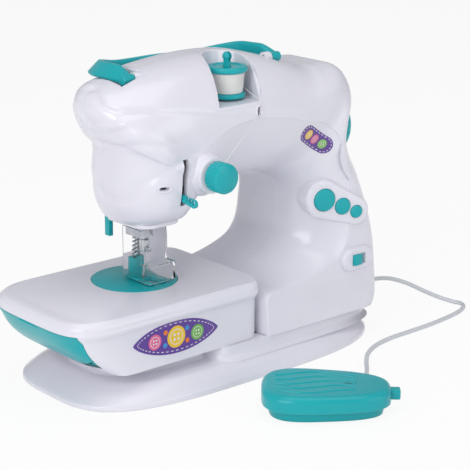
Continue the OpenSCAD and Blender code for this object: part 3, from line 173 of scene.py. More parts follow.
def tint(tree, bsdf, fac, low, high, span=(0.0, 1.0)):
    """The base colour goes from low to high over a span of the noise."""
    ramp = tree.nodes.new("ShaderNodeValToRGB")
    for element, position, colour in zip(ramp.color_ramp.elements, span, (low, high)):
        element.position = position
        element.color = (*colour, 1)
    tree.links.new(fac, ramp.inputs[0])
    tree.links.new(ramp.outputs[0], bsdf.inputs["Base Color"])


def roughen(tree, bsdf, fac, low, high):
    """The roughness goes from low to high with the noise."""
    spread = tree.nodes.new("ShaderNodeMapRange")
    spread.inputs["To Min"].default_value = low
    spread.inputs["To Max"].default_value = high
    tree.links.new(fac, spread.inputs["Value"])
    tree.links.new(spread.outputs[0], bsdf.inputs["Roughness"])


def emboss(tree, bsdf, fac, strength, distance):
    """A fine bump from the noise."""
    bumps = tree.nodes.new("ShaderNodeBump")
    bumps.inputs["Strength"].default_value = strength
    bumps.inputs["Distance"].default_value = distance
    tree.links.new(fac, bumps.inputs["Height"])
    tree.links.new(bumps.outputs[0], bsdf.inputs["Normal"])


def plastic(name, colour, other, rough, coat, grain=1400.0, bump=0.002, cloud=22.0, metal=0.0, shine=0.5):
    """Two close colours in clouds, with a fine grain in roughness and height."""
    mat = bpy.data.materials.new(name)
    tree, bsdf = nodes_of(mat)
    tint(tree, bsdf, noise(tree, cloud, 3.0), colour, other, (0.3, 0.7))
    fine = noise(tree, grain)
    roughen(tree, bsdf, fine, max(rough - ROUGH_SPREAD, LEAST_ROUGH), rough + ROUGH_SPREAD)
    emboss(tree, bsdf, fine, bump, GRAIN_HEIGHT)
    bsdf.inputs["Metallic"].default_value = metal
    bsdf.inputs["Specular IOR Level"].default_value = shine
    bsdf.inputs["Coat Weight"].default_value = coat
    bsdf.inputs["Coat Roughness"].default_value = COAT_ROUGH
    return mat


WHITE = plastic("white_gloss", (0.80, 0.79, 0.85), (0.77, 0.76, 0.825), 0.26, 0.35)
INNER = plastic("white_inner", (0.68, 0.67, 0.72), (0.63, 0.62, 0.67), 0.5, 0.0, bump=0.08)
TEAL = plastic("teal_gloss", (0.010, 0.415, 0.445), (0.012, 0.385, 0.42), 0.30, 0.15, shine=0.25)
TEAL_MATT = plastic("teal_satin", (0.012, 0.40, 0.43), (0.014, 0.37, 0.405), 0.42, 0.1, bump=0.08,
                    shine=0.25)
NYLON = plastic("nylon", (0.71, 0.69, 0.60), (0.66, 0.64, 0.55), 0.48, 0.0, bump=0.06)
DARK = plastic("dark_moulding", (0.012, 0.011, 0.012), (0.022, 0.020, 0.020), 0.5, 0.0, bump=0.1)
# Near black painted on the casing's inner walls: painted shade seen through the slot and the other openings
PAINTED_SHADE_INSIDE = plastic("inside_painted_shade", (0.018, 0.009, 0.007), (0.010, 0.006, 0.005), 0.6, 0.0, bump=0.1)
STEEL = plastic("steel", (0.56, 0.57, 0.59), (0.48, 0.49, 0.51), 0.24, 0.0, grain=2600, bump=0.06,
                metal=1.0)
BRASS = plastic("brass", (0.62, 0.43, 0.15), (0.55, 0.37, 0.12), 0.28, 0.0, grain=2600, bump=0.05,
                metal=1.0)
CANS = plastic("battery_wrap", (0.035, 0.032, 0.030), (0.30, 0.17, 0.05), 0.32, 0.2, cloud=60)
BOARD = plastic("board_green", (0.012, 0.095, 0.035), (0.018, 0.12, 0.05), 0.45, 0.2, grain=3000,
                bump=0.2)
RUBBER = plastic("belt_rubber", (0.010, 0.010, 0.010), (0.018, 0.018, 0.018), 0.7, 0.0, bump=0.25)
LEAD = plastic("lead_sleeve", (0.66, 0.68, 0.70), (0.60, 0.62, 0.645), 0.45, 0.05, bump=0.12)
PRINT_COLOURS = {
    "purple": ((0.115, 0.045, 0.29), (0.13, 0.05, 0.32)), "orange": ((0.80, 0.19, 0.025), (0.84, 0.22, 0.03)),
    "yellow": ((0.83, 0.52, 0.04), (0.87, 0.56, 0.05)), "green": ((0.16, 0.42, 0.07), (0.18, 0.46, 0.08)),
    "pink": ((0.72, 0.12, 0.30), (0.76, 0.14, 0.33)), "blue": ((0.06, 0.27, 0.62), (0.07, 0.30, 0.66)),
    "cream": ((0.80, 0.79, 0.74), (0.77, 0.76, 0.71)),
}
PURPLE, ORANGE, YELLOW, GREEN, PINK, BLUE, CREAM = (plastic("print_" + name, *pair, 0.34, 0.2)
                                                    for name, pair in PRINT_COLOURS.items())


def clear_mat():
    mat = bpy.data.materials.new("clear_guard")
    tree, bsdf = nodes_of(mat)
    bsdf.inputs["Base Color"].default_value = (0.985, 0.99, 0.995, 1)
    bsdf.inputs["Transmission Weight"].default_value = 1.0
    bsdf.inputs["IOR"].default_value = 1.22
    roughen(tree, bsdf, noise(tree, 260), 0.0, 0.05)
    return mat


def thread_mat():
    mat = bpy.data.materials.new("white_thread")
    tree, bsdf = nodes_of(mat)
    ply = noise(tree, 3200)
    tint(tree, bsdf, ply, (0.66, 0.66, 0.63), (0.88, 0.88, 0.85))
    emboss(tree, bsdf, ply, 0.3, 0.0002)
    bsdf.inputs["Roughness"].default_value = 0.75
    bsdf.inputs["Sheen Weight"].default_value = 0.3
    return mat


CLEAR, THREAD = clear_mat(), thread_mat()


# Mesh helpers, in millimetres
WELD = 2e-6


def circle(n):
    """Cosine and sine of n equal turns."""
    return [(math.cos(2 * math.pi * i / n), math.sin(2 * math.pi * i / n)) for i in range(n)]


def signed_power(value, power):
    return math.copysign(abs(value) ** power, value)


def turned(at, angle, p):
    """A local point turned about Z and moved to its place."""
    c, s = math.cos(angle), math.sin(angle)
    return (at[0] + p[0] * c - p[1] * s, at[1] + p[0] * s + p[1] * c, p[2])


def mesh_object(name, verts, faces, mats, smooth=40.0):
    me = bpy.data.meshes.new(name)
    me.from_pydata([tuple(v * MM for v in p) for p in verts], [], faces)
    for m in mats:
        me.materials.append(m)
    ob = link(bpy.data.objects.new(name, me))
    finish_mesh(ob, smooth)
    return ob


def finish_mesh(ob, smooth, outward=True):
    """Welds the mesh, turns its faces outward, and shades it smooth up to an angle in degrees."""
    me = ob.data
    bm = bmesh.new()
    bm.from_mesh(me)
    bmesh.ops.remove_doubles(bm, verts=bm.verts, dist=WELD)
    if outward:
        bmesh.ops.recalc_face_normals(bm, faces=bm.faces)
    bm.to_mesh(me)
    bm.free()
    me.polygons.foreach_set("use_smooth", [True] * len(me.polygons))
    me.set_sharp_from_angle(angle=math.radians(smooth))
    me.update()


def bake(ob):
    """The object's modifiers become its mesh."""
    bpy.context.view_layer.update()
    deps = bpy.context.evaluated_depsgraph_get()
    me = bpy.data.meshes.new_from_object(ob.evaluated_get(deps), depsgraph=deps)
    old = ob.data
    ob.modifiers.clear()
    ob.data = me
    me.name = old.name
    bpy.data.meshes.remove(old)
    return ob


def boolean(ob, cutter, how="DIFFERENCE"):
    """Cuts the object with the cutter, and removes the cutter."""
    mod = ob.modifiers.new("cut", "BOOLEAN")
    mod.operation = how
    mod.solver = "EXACT"
    mod.object = cutter
    bake(ob)
    drop(cutter)


def drop(ob):
    me = ob.data
    bpy.data.objects.remove(ob)
    bpy.data.meshes.remove(me)


def join(name, *obs):
    """Several meshes as one piece."""
    bm = bmesh.new()
    mats = []
    for ob in obs:
        start = len(bm.faces)
        bm.from_mesh(ob.data)
        bm.faces.ensure_lookup_table()
        shift = []
        for m in ob.data.materials:
            if m not in mats:
                mats.append(m)
            shift.append(mats.index(m))
        for f in bm.faces[start:]:
            f.material_index = shift[f.material_index] if shift else 0
    me = bpy.data.meshes.new(name)
    bm.to_mesh(me)
    bm.free()
    for m in mats:
        me.materials.append(m)
    for ob in obs:
        drop(ob)
    return link(bpy.data.objects.new(name, me))


def bevel(ob, width, segs=2, angle=32.0):
    mod = ob.modifiers.new("edge", "BEVEL")
    mod.width = width * MM
    mod.segments = segs
    mod.limit_method = "ANGLE"
    mod.angle_limit = math.radians(angle)
    mod.harden_normals = False
    bake(ob)
    finish_mesh(ob, 38)


def grid(nr, nc, wrap=False):
    cols = nc if wrap else nc - 1
    return [(k * nc + i, k * nc + (i + 1) % nc, (k + 1) * nc + (i + 1) % nc, (k + 1) * nc + i)
            for k in range(nr - 1) for i in range(cols)]


def rings_object(name, rings, mats, smooth=40.0, caps=True):
    """A closed form lofted through closed rings of points."""
    n = len(rings[0])
    verts = [tuple(p) for r in rings for p in r]
    faces = grid(len(rings), n, True)
    if caps:
        faces.append(tuple(range(n))[::-1])
        faces.append(tuple((len(rings) - 1) * n + i for i in range(n)))
    return mesh_object(name, verts, faces, mats, smooth)


def lathe(name, profile, mats, place, turns=64):
    """A turned form: profile of (radius, height) points, put in place by a function of a point."""
    verts = [place((r * c, r * s, h)) for r, h in profile for c, s in circle(turns)]
    return mesh_object(name, verts, grid(len(profile), turns, True), mats)


def curve_through(rows, k):
    """Points on a smooth curve through the rows, k to a step."""
    rows = np.array(rows, float)
    n = len(rows)
    out = []
    for i in range(n - 1):
        a, b, c, d = rows[max(i - 1, 0)], rows[i], rows[i + 1], rows[min(i + 2, n - 1)]
        for j in range(k):
            t = j / k
            out.append(0.5 * (2 * b + (c - a) * t + (2 * a - 5 * b + 4 * c - d) * t * t
                              + (3 * b - a - 3 * c + d) * t ** 3))
    out.append(rows[-1])
    return np.array(out)


def tube_object(name, points, radius, mats, sides=8):
    """A round tube along points, without twist."""
    pts = np.array(points, float)
    d = np.gradient(pts, axis=0)
    d /= np.linalg.norm(d, axis=1)[:, None]
    side = np.cross(d[0], [0.0, 0.0, 1.0])
    if np.linalg.norm(side) < 0.05:
        side = np.cross(d[0], [1.0, 0.0, 0.0])
    rings = []
    for p, t in zip(pts, d):
        side = side - t * np.dot(side, t)
        side /= np.linalg.norm(side)
        v = np.cross(side, t)
        rings.append([p + radius * (c * side + s * v) for c, s in circle(sides)])
    return rings_object(name, rings, mats, 60)


def box_object(name, x0, x1, y0, y1, z0, z1, mats=()):
    v = [(x, y, z) for z in (z0, z1) for y in (y0, y1) for x in (x0, x1)]
    f = [(0, 2, 3, 1), (4, 5, 7, 6), (0, 1, 5, 4), (2, 6, 7, 3), (0, 4, 6, 2), (1, 3, 7, 5)]
    return mesh_object(name, v, f, mats)


def rod_object(name, place, r, h0, h1, mats=(), turns=48):
    prof = [(0.0001, h0), (r, h0), (r, h1), (0.0001, h1)]
    return lathe(name, prof, mats, place, turns)


def ride(ob, body, slot, *nodes):
    """Puts a piece on its body, in place of the nodes it replaces; the slot is not used."""
    if nodes:
        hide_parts(*nodes)
    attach(ob, body)
    return ob


# Sizes shared with the solids, in millimetres
HALF, WALL, FIT = 44.0, 2.2, 0.3
HEAD_LEFT, HEAD_BOTTOM, DOME_TOP, ROOF = -88.5, 110.0, 216.5, 126.0
BRIM_X, COLUMN_IN, COLUMN_RIGHT = -103.5, 68.0, 133.5
SHAFT_Z, BED_TOP, BED_END, NECK = 150.0, 64.0, 12.0, 23.0
BED_REACH, BED_DEPTH = 147.0, 112.0
PEDAL_AT, PEDAL_TURN = (-5.5, -132.5), math.radians(-43)


def on_pedal(p):
    return turned(PEDAL_AT, PEDAL_TURN, p)


# Lead from the column to the pedal
LEAD_R = 1.6
route = [(141.5, -22, 27), (154, -22.5, 26.6), (168, -24.5, 24.4), (183, -28.5, 18.5), (196, -34, 11),
         (207, -40, 5), (214, -47.5, 2), (215.9, -55, 1.8), (211, -62, 1.8), (199, -67, 1.8), (182, -70, 1.8),
         (161, -72, 1.8), (140, -72.5, 1.8), (119, -73, 1.8), (100, -76.5, 1.8), (84, -84, 1.8), (72, -94, 1.8),
         (59, -107, 2), (46, -118, 2.8), on_pedal((26, 23, 3.6)), on_pedal((26, 16, 3.6))]
lead_points = curve_through(route, 6)
lead_curve = bpy.data.curves.new("pedal_lead", "CURVE")
lead_curve.dimensions = "3D"
lead_curve.bevel_depth = LEAD_R * MM
lead_curve.bevel_resolution = 4
spline = lead_curve.splines.new("POLY")
spline.points.add(len(lead_points) - 1)
for point, p in zip(spline.points, lead_points):
    point.co = (p[0] * MM, p[1] * MM, p[2] * MM, 1)
lead_curve.materials.append(LEAD)
lead = link(bpy.data.objects.new("pedal_lead", lead_curve))
ride(lead, "machine", "lead_rubber", "pedal_cord")


# Casing: sections from the throat to the outside. A row is x and z in the throat, x and z outside, then on the
# front the depth added, the bevel, and the crown along and across, and on the rear the depth added and the crown
HL, HB, BX, DT, RF = HEAD_LEFT, HEAD_BOTTOM, BRIM_X, DOME_TOP, ROOF
CI, CR, SZ, BT, BE = COLUMN_IN, COLUMN_RIGHT, SHAFT_Z, BED_TOP, BED_END
SECTIONS = np.array([
    [-30, HB, HL + 15, HB, -19, 16, 20, 18, -9, 33],
    [-28, HB + 3, HL + 11, HB + 5, -11, 20, 24, 24, -9, 39],
    [-25, HB + 8, HL + 6, HB + 16, -4, 26, 28, 30, -8, 47],
    [-21, RF - 4, HL + 4, HB + 35, -1, 30, 30, 32, -6, 57],
    [-15, RF - 1, HL + 4.5, HB + 53, 0, 34, 32, 32, -6, 64],
    [-13, RF - 0.6, HL - 3.25, HB + 62, 1, 36, 36, 36, -8, 66],
    [-11, RF - 0.3, BX + 5, HB + 75, 2, 38, 44, 40, -8, 72],
    [-9, RF, BX + 5.5, DT - 22, 1.5, 40, 48, 42, -5, 70],
    [-7, RF, HL - 0.5, DT - 14, 0, 42, 48, 41, -1, 50],
    [-4, RF, -66, DT - 6.5, 0, 44, 44, 40, 0, 46],
    [0, RF, -38, DT - 2, 0, 46, 42, 39, 0, 46],
    [6, RF, -8, DT, 0, 48, 40, 38, 0, 46],
    [14, RF, 20, DT - 1.5, 0, 48, 38, 38, 0, 46],
    [25, RF, 48, DT - 8, 0, 47, 36, 37, -1, 42],
    [35, RF, 76, DT - 18, -1, 46, 30, 33, -2, 30],
    [43, RF - 0.5, 90, DT - 18.5, -2, 46, 28, 30, -2, 24],
    [51, RF - 1.5, 104, DT - 18.5, -3, 46, 28, 28, -2, 22],
    [57, RF - 3.5, 113, DT - 24, -4, 45, 27, 27, -2, 20],
    [CI - 6.5, RF - 6, 116, SZ + 32, -3, 44, 25, 26, -2, 16],
    [CI - 3, RF - 9, 112.5, SZ + 17, -2, 42, 24, 26, -2, 13],
    [CI - 1, RF - 13, 110.5, SZ + 2, -1, 40, 24, 26, -2, 12],
    [CI, RF - 18, 112.5, SZ - 13, -1, 38, 20, 22, -2, 12],
    [CI, 103, 118.5, 120, -0.5, 37, 16, 17, -2, 12],
    [CI, 97, CR - 9, 102, 0, 36, 14, 14, -1, 12],
    [CI - 0.5, 86, CR - 4, 86, 1, 35, 14, 14, 0, 12],
    [CI - 3, 75, CR - 1, 72, 2, 34, 14, 14, 1, 12],
    [CI - 10, BT + 2, CR, 60, 3, 32, 14, 14, 2, 12],
    [44, BT - 5, CR, 50, 4, 26, 14, 14, 4, 13],
    [27, BT - 9.5, CR, 42, 5, 16, 14, 14, 5, 13],
    [BE + 1.5, BT - 13, CR - 1, 34, 7, 6, 14, 16, 7, 14],
    [BE + 0.3, BT - 28, CR - 3, 28, 10, 4, 16, 18, 10, 16],
    [BE + 0.3, NECK, CR - 6, NECK, 12, 4, 18, 20, 12, 18],
], float)
ROW_STEPS = 14
rows = curve_through(SECTIONS, ROW_STEPS)
row_at = np.arange(len(rows)) / ROW_STEPS

# The crease round the front face: how far the bevel turns short of it, its step and its lip
CREASE_TURN, CREASE_STEP, CREASE_LIP = 16, 0.8, 0.3
REAR_CORNER = 9.0


def ease(x, a, b):
    t = min(max((x - a) / (b - a), 0.0), 1.0)
    return t * t * (3 - 2 * t)


def profile(row, at, front, t):
    """Points of a half section drawn in by t: distance from the throat, and Y."""
    length = math.hypot(row[2] - row[0], row[3] - row[1]) - t
    if front:
        w, bevel_a, crown_a, crown_b = HALF + row[4] - t, max(row[5] - t, 0.6), row[6] - t, row[7] - t
        crease = 0.0 if t else 1.0
        last = math.radians(90 - crease * CREASE_TURN * ease(at, 8.5, 12) * (1 - ease(at, 25, 29)))
        step = crease * CREASE_STEP * ease(at, 9, 12) * (1 - ease(at, 26, 28))
        edge = t + bevel_a + CREASE_LIP
        a = np.linspace(0, last, 34)
        along = t + bevel_a * (1 - np.cos(a)) / (1 - math.cos(last))
        pts = [np.c_[along, -(w - step) * np.sin(a) / math.sin(last)],
               np.array([[t + bevel_a + 0.02, -w + 0.3 * step], [edge, -w]])]
        x = np.linspace(edge, length - crown_a, 26)[1:-1]
    else:
        w, corner, crown_a = HALF + row[8] - t, REAR_CORNER - t, row[9] - t
        crown_b = min(crown_a, w - 4)
        a = np.linspace(0, math.pi / 2, 12)
        y = np.linspace(0, -(w - corner), 10)[:-1]
        pts = [np.c_[np.full_like(y, t), y],
               np.c_[t + corner * (1 - np.cos(a)), -(w - corner) - corner * np.sin(a)]]
        x = np.linspace(t + corner, length - crown_a, 30)[1:-1]
    pts.append(np.c_[x, np.full_like(x, -w)])
    a = np.linspace(0, math.pi / 2, 34)
    pts.append(np.c_[length - crown_a + crown_a * np.sin(a), -w + crown_b * (1 - np.cos(a))])
    y = np.linspace(-w + crown_b, 0, 9)[1:]
    pts.append(np.c_[np.full_like(y, length), y])
    q = np.vstack(pts)
    if not front:
        q[:, 1] *= -1
    return q


SEAM_GAP = 0.02


def place_section(row, q, front):
    """A profile's points in space, kept on their side of the seam."""
    d = row[2:4] - row[0:2]
    d = d / np.hypot(*d)
    p = row[0:2] + q[:, :1] * d
    y = np.minimum(q[:, 1], -SEAM_GAP) if front else np.maximum(q[:, 1], SEAM_GAP)
    return np.c_[p[:, 0], y, p[:, 1]]


# Lines moulded in the casing, as points on its surface
DOME_LINE = [(-84, 20, 198), (-90, 6, 201.5), (-89.3, -2.7, 202.3), (-93.1, -10.4, 199.2), (-94.7, -17.2, 194.6),
             (-90.2, -26.1, 192), (-76, -34.7, 190.6), (-58.8, -39.8, 188.2), (-39.3, -42.6, 185.1),
             (-17.9, -43.8, 180.5), (4.8, -44, 176.9)]
BRIM_LINE = [(-97, 14, 187), (-98, 5, 183.6), (-94.5, -0.9, 176.4), (-95, -15.7, 178.2), (-92.3, -28.7, 182.7),
             (-81, -35.7, 186.8), (-68.3, -38.3, 187.7)]
HEM_LINE = [(-80, 22, 166), (-86.1, 5.9, 166.7), (-84.2, -0.9, 163.5), (-84.8, -18.5, 165.5), (-82.5, -37.4, 169.7),
            (-73.1, -44.1, 169), (-56.9, -45.3, 164.1), (-40.4, -43.9, 160.4)]
CHIN_LINE = [(-74, 24, 133), (-82.7, 8.2, 129.7), (-82.3, 2.6, 125.4), (-81.8, -13.7, 124.3), (-79.4, -24.6, 127.2),
             (-75.5, -33.3, 135.3), (-69.6, -39.5, 143.4), (-58, -44, 149.3), (-46.3, -45.7, 153.8),
             (-31.5, -43.8, 156.3)]


def near_line(points, line):
    """Distance to a line, height above it, and how far along it, for each point."""
    line = curve_through(line, 12)
    best = np.full(len(points), 1e9)
    above = np.zeros(len(points))
    along = np.zeros(len(points))
    for i in range(len(line) - 1):
        a, b = line[i], line[i + 1]
        t = np.clip(((points - a) @ (b - a)) / np.dot(b - a, b - a), 0, 1)
        d = points - (a + t[:, None] * (b - a))
        r = np.linalg.norm(d, axis=1)
        m = r < best
        best[m] = r[m]
        above[m] = d[m, 2]
        along[m] = (i + t[m]) / (len(line) - 1)
    return best, above, along


def mould(points, normals):
    """Moves the casing's surface in and out along its moulded lines."""
    move = np.zeros(len(points))
    # The dome's edge stands out above its line and is pressed in below it
    d, up, s = near_line(points, DOME_LINE)
    depth = np.interp(s, [0, 0.12, 0.55, 0.85, 1], [0, 2.6, 2.3, 1.2, 0])
    over = 0.5 + 0.5 * np.tanh(up / 1.1)
    move += depth * (0.35 * over * np.exp(-d / 5.0) - (1 - over) * np.exp(-d / 4.5))
    # The brim is a ridge between two hollows
    d, _, s = near_line(points, BRIM_LINE)
    press = np.interp(s, [0, 0.25, 0.7, 1], [0, 2.0, 2.2, 0])
    move -= press * (np.exp(-(d / 9.0) ** 2) - np.exp(-(d / 3.0) ** 2))
    # The hem is a groove
    d, _, s = near_line(points, HEM_LINE)
    dip = np.interp(s, [0, 0.2, 0.75, 1], [0, 1.2, 0.9, 0])
    move -= dip * np.exp(-(d / 2.6) ** 2)
    # The chin is pressed in above its line, and not at the head's bottom
    d, up, s = near_line(points, CHIN_LINE)
    press = np.interp(s, [0, 0.2, 0.85, 1], [0, 1.8, 2.0, 0]) * np.interp(points[:, 2], [108, 114], [0, 1])
    over = 0.5 + 0.5 * np.tanh(up / 1.1)
    move -= press * over * (np.exp(-(d / 8.0) ** 2) - np.exp(-(d / 2.4) ** 2))
    return points + normals * move[:, None]


SHELL_T, SEAM_NEAR, TOP_GAP = 3.8, 0.2, 0.05


def half_shell(name, front):
    """Half the casing: its moulded outside, an inner wall that follows it, and the edges between them."""
    def wall(t):
        return np.array([place_section(r, profile(r, s, front, t), front) for r, s in zip(rows, row_at)])

    outside = wall(0.0)
    nr, nc = outside.shape[:2]
    normal = np.cross(np.gradient(outside, axis=1), np.gradient(outside, axis=0))
    normal /= np.linalg.norm(normal, axis=2)[:, :, None] + 1e-9
    mid = outside.mean(axis=1)[:, None, :]
    if ((outside - mid) * normal).sum(axis=2).mean() < 0:
        normal = -normal
    # On the seam both halves take the normals of the outer edge, so that they meet
    tip = np.gradient(rows[:, 2:4], axis=0)
    across = np.c_[-tip[:, 1], np.zeros(nr), tip[:, 0]]
    across *= np.sign(((rows[:, 2:4] - rows[:, 0:2]) * across[:, ::2]).sum(axis=1))[:, None]
    normal[:, -1] = across / np.linalg.norm(across, axis=1)[:, None]
    flat = outside.reshape(-1, 3)
    shaped = mould(flat, normal.reshape(-1, 3))
    seam = np.abs(flat[:, 1]) < SEAM_NEAR
    shaped[seam, 1] = flat[seam, 1]
    shaped[:, 2] = np.minimum(shaped[:, 2], DOME_TOP - TOP_GAP)
    inner = wall(SHELL_T).reshape(-1, 3) + (shaped - flat)
    n = len(flat)
    outer_faces = grid(nr, nc)
    faces = outer_faces + [tuple(n + i for i in f[::-1]) for f in outer_faces]
    edge = (list(range(nc)) + [k * nc + nc - 1 for k in range(1, nr)]
            + [(nr - 1) * nc + i for i in range(nc - 2, -1, -1)] + [k * nc for k in range(nr - 2, 0, -1)])
    faces += [(b, a, n + a, n + b) for a, b in zip(edge, edge[1:] + edge[:1])]
    # The inner wall and the edges between the walls take the near black painted shade
    ob = mesh_object(name, np.vstack([shaped, inner]), faces, [WHITE, PAINTED_SHADE_INSIDE], 30)
    slots = [0 if i < len(outer_faces) else 1 for i in range(len(ob.data.polygons))]
    ob.data.polygons.foreach_set("material_index", slots)
    return ob


# Places for turned forms: along X, along -Y and upright
def at_shaft(x, z, y=0.0):
    return lambda p: (x + p[2], y + p[1], z - p[0])


def along_y(x, y, z):
    return lambda p: (x + p[0], y - p[2], z + p[1])


def upright(x, y, z=0.0):
    return lambda p: (x + p[0], y + p[1], z + p[2])


BOSS_TURN, BOSS_MARGIN = math.radians(-18), 6
BUTTON_FACE, BUTTON_ALONG, BUTTON_Z = (112, -47.5), (-31.5, -17, -6), (105, 99, 94)
BUTTON_R, BUTTON_RIM, RIM_GAP = (8.2, 6.0, 4.6), 0.5, 0.1
KNOB_AT = (-31, 144)
SWITCH_AT, SWITCH_FACE = (106.5, 59), 51.0
SPOOL_AT, WELL_FLOOR, WELL_R, WELL_TURN = (4.5, -22), 186.0, 16.8, math.radians(-18)
LUG_X, LUG_Y, LUG_Z, LUG_T, ARM_HALF = (-66, 48), -10.0, 206.5, 5, 4.5
ARM_X = (LUG_X[0] - FIT - ARM_HALF, LUG_X[1] + LUG_T + FIT + ARM_HALF)
SEAT_HALF, SEAT_FRONT, SEAT_REAR, SEAT_Z = 8.5, 5.4, 36, (200.1, 230)
CASE_SCREWS = [(-74, 150, -22), (-30, 172, 0), (62, 160, -2), (116, 76, 0.6), (30, 30, 9)]
SCREW_HOLE_R, WHEEL_FACE, WHEEL_CUT_R = 3.1, 106, 27
LEAD_HOLE_AT, LEAD_HOLE_R = (113.5, 27, -22), 3.2
# Boxes cut in the front half: take-up slot, eyelet of the head and thread guide
FRONT_OPENINGS = ((-52.2, -47.8, -70, -20, 125, 156.6), (-68, -62, -70, -30, 138, 140),
                  (12.8, 15.2, -70, -30, 176.5, 182.5))


def on_boss(p):
    return turned(BUTTON_FACE, BOSS_TURN, p)


def boss_rod(i, r, y0, y1):
    """A rod across the button boss, from local depth y0 to y1."""
    return rod_object("rod", lambda p: on_boss((BUTTON_ALONG[i] + p[0], p[2], BUTTON_Z[i] + p[1])), r, y0, y1)


def button_hole(i, r):
    """The stepped hole of a button: close round its cap, wider round the rim behind it."""
    wide = r + BUTTON_RIM + RIM_GAP
    steps = ((r + FIT, -10), (r + FIT, 0.2), (wide, 0.3), (wide, 7.0))
    return rings_object("hole", [[on_boss((BUTTON_ALONG[i] + q * c, y, BUTTON_Z[i] + q * s))
                                  for c, s in circle(64)] for q, y in steps], [])


def well_cutter(r, z0, z1):
    """A round well, open to the front."""
    ring = [(r * math.cos(a), r * math.sin(a)) for a in np.linspace(0, math.pi, 40)] + [(-r, -70), (r, -70)]
    return rings_object("well_cut", [[turned(SPOOL_AT, WELL_TURN, (x, y, z)) for x, y in ring]
                                     for z in (z0, z1)], [])


def seat_cutter(i):
    """Room for one of the handle's tubs."""
    left, right = min(ARM_X[i] - SEAT_HALF, LUG_X[i]), max(ARM_X[i] + SEAT_HALF, LUG_X[i] + LUG_T)
    return box_object("seat", left - WALL, right + WALL, LUG_Y - SEAT_FRONT - WALL, LUG_Y + SEAT_REAR + WALL, *SEAT_Z)


front = half_shell("front_casing", True)
rear = half_shell("rear_casing", False)
for shell in (front, rear):
    cuts = [well_cutter(WELL_R + WALL, WELL_FLOOR - WALL, 240), seat_cutter(0), seat_cutter(1),
            rod_object("wheel_cut", at_shaft(WHEEL_FACE, SHAFT_Z), WHEEL_CUT_R, 0, 40)]
    if shell is front:
        cuts += [box_object("opening", *box) for box in FRONT_OPENINGS]
        cuts.append(rod_object("lead_hole", at_shaft(*LEAD_HOLE_AT), LEAD_HOLE_R, 0, 40))
        cuts += [boss_rod(i, r + BUTTON_RIM + RIM_GAP, -2, 16) for i, r in enumerate(BUTTON_R)]
    else:
        cuts += [rod_object("screw_hole", along_y(x, HALF + d + 20, z), SCREW_HOLE_R, 0, 28)
                 for x, z, d in CASE_SCREWS]
    boolean(shell, join("cutter", *cuts))
    finish_mesh(shell, 30)

# Pads on the front: tension collar, button boss and switch pad
COLLAR = [(16.5, -8), (15.6, -3.2), (14.2, -0.6), (13.0, 2.0), (12.4, 4.6), (12.2, 6.2), (11.9, 6.8), (11.3, 7.0),
          (2.6, 7.0), (2.6, 3.0)]
collar = lathe("collar", COLLAR, [WHITE], along_y(KNOB_AT[0], -HALF, KNOB_AT[1]), 72)


def hull_outline(circles, n=96):
    """Convex outline round several circles."""
    out = []
    for c, s in circle(n):
        x, z, r = max(circles, key=lambda q: q[0] * c + q[1] * s + q[2])
        out.append((x + r * c, z + r * s))
    return out


def pad(name, circles, place, deep, face, round_r, cutters):
    """A pad round several circles, from local depth deep to its face, with a rounded edge and holes."""
    steps = [(0, deep), (0, face + round_r)]
    steps += [(round_r * (1 - math.cos(a)), face + round_r * (1 - math.sin(a)))
              for a in np.linspace(0.15, math.pi / 2, 8)]
    rings = []
    for inset, y in steps:
        outline = hull_outline([(x, z, r - inset) for x, z, r in circles])
        rings.append([place((x, y, z)) for x, z in outline])
    ob = rings_object(name, rings, [WHITE], 40)
    boolean(ob, join("cutter", *cutters))
    finish_mesh(ob, 40)
    return ob


BOSS_CIRCLES = [(x, z, r + BOSS_MARGIN) for x, z, r in zip(BUTTON_ALONG, BUTTON_Z, BUTTON_R)]
button_holes = [button_hole(i, r) for i, r in enumerate(BUTTON_R)]
boss = pad("button_boss", BOSS_CIRCLES, on_boss, deep=20, face=-2, round_r=2.8, cutters=button_holes)
SWITCH_CIRCLES = [(SWITCH_AT[0] + s * 7, SWITCH_AT[1], 8.5) for s in (-1, 1)]
switch_gap = box_object("gap", SWITCH_AT[0] - 6.4, SWITCH_AT[0] + 6.4, -60, -44, SWITCH_AT[1] - 4, SWITCH_AT[1] + 4)
switch_pad = pad("switch_pad", SWITCH_CIRCLES, lambda p: p, deep=-40, face=-SWITCH_FACE, round_r=2.4,
                 cutters=[switch_gap])

# Rims and printed designs laid on the front surface
RAY_START, PRINT_SINK = -300, -0.1
# How far the layers of a print stand off: ground, stitches, and a button's edge, ring, face and holes
GROUND_LIFT, STITCH_LIFT, EDGE_LIFT, RING_LIFT, FACE_LIFT, HOLE_LIFT = 0.10, 0.16, 0.20, 0.24, 0.28, 0.33
# Rims round the eyelet and the thread guide: x, z, half sizes and thickness
RIMS = ((-65, 139, 4.4, 2.3, 0.9), (14, 179.4, 2.5, 3.9, 0.7))


def surface(ob):
    bm = bmesh.new()
    bm.from_mesh(ob.data)
    tree = BVHTree.FromBMesh(bm)
    bm.free()
    return tree


def onto(tree, x, z, lift):
    """The point of the front surface at x and z, lifted off it."""
    hit, normal, _, _ = tree.ray_cast(Vector((x, RAY_START, z)) * MM, Vector((0, 1, 0)))
    normal = normal if normal.y < 0 else -normal
    return tuple((hit + normal * (lift * MM)) / MM)


def patch(tree, outline, mat, lift, rings=5):
    """A thin printed patch with a convex outline in x and z."""
    pts = np.array(outline, float)
    mid, n = pts.mean(axis=0), len(pts)
    verts = [onto(tree, *p, PRINT_SINK) for p in pts]
    verts += [onto(tree, *(mid + (p - mid) * k / rings), lift) for k in range(rings, 0, -1) for p in pts]
    verts.append(onto(tree, *mid, lift))
    faces = grid(rings + 1, n, True)
    faces += [(rings * n + i, rings * n + (i + 1) % n, (rings + 1) * n) for i in range(n)]
    return mesh_object("patch", verts, faces, [mat], 60)


def disc(x, z, r, n=28):
    return [(x + r * c, z + r * s) for c, s in circle(n)]


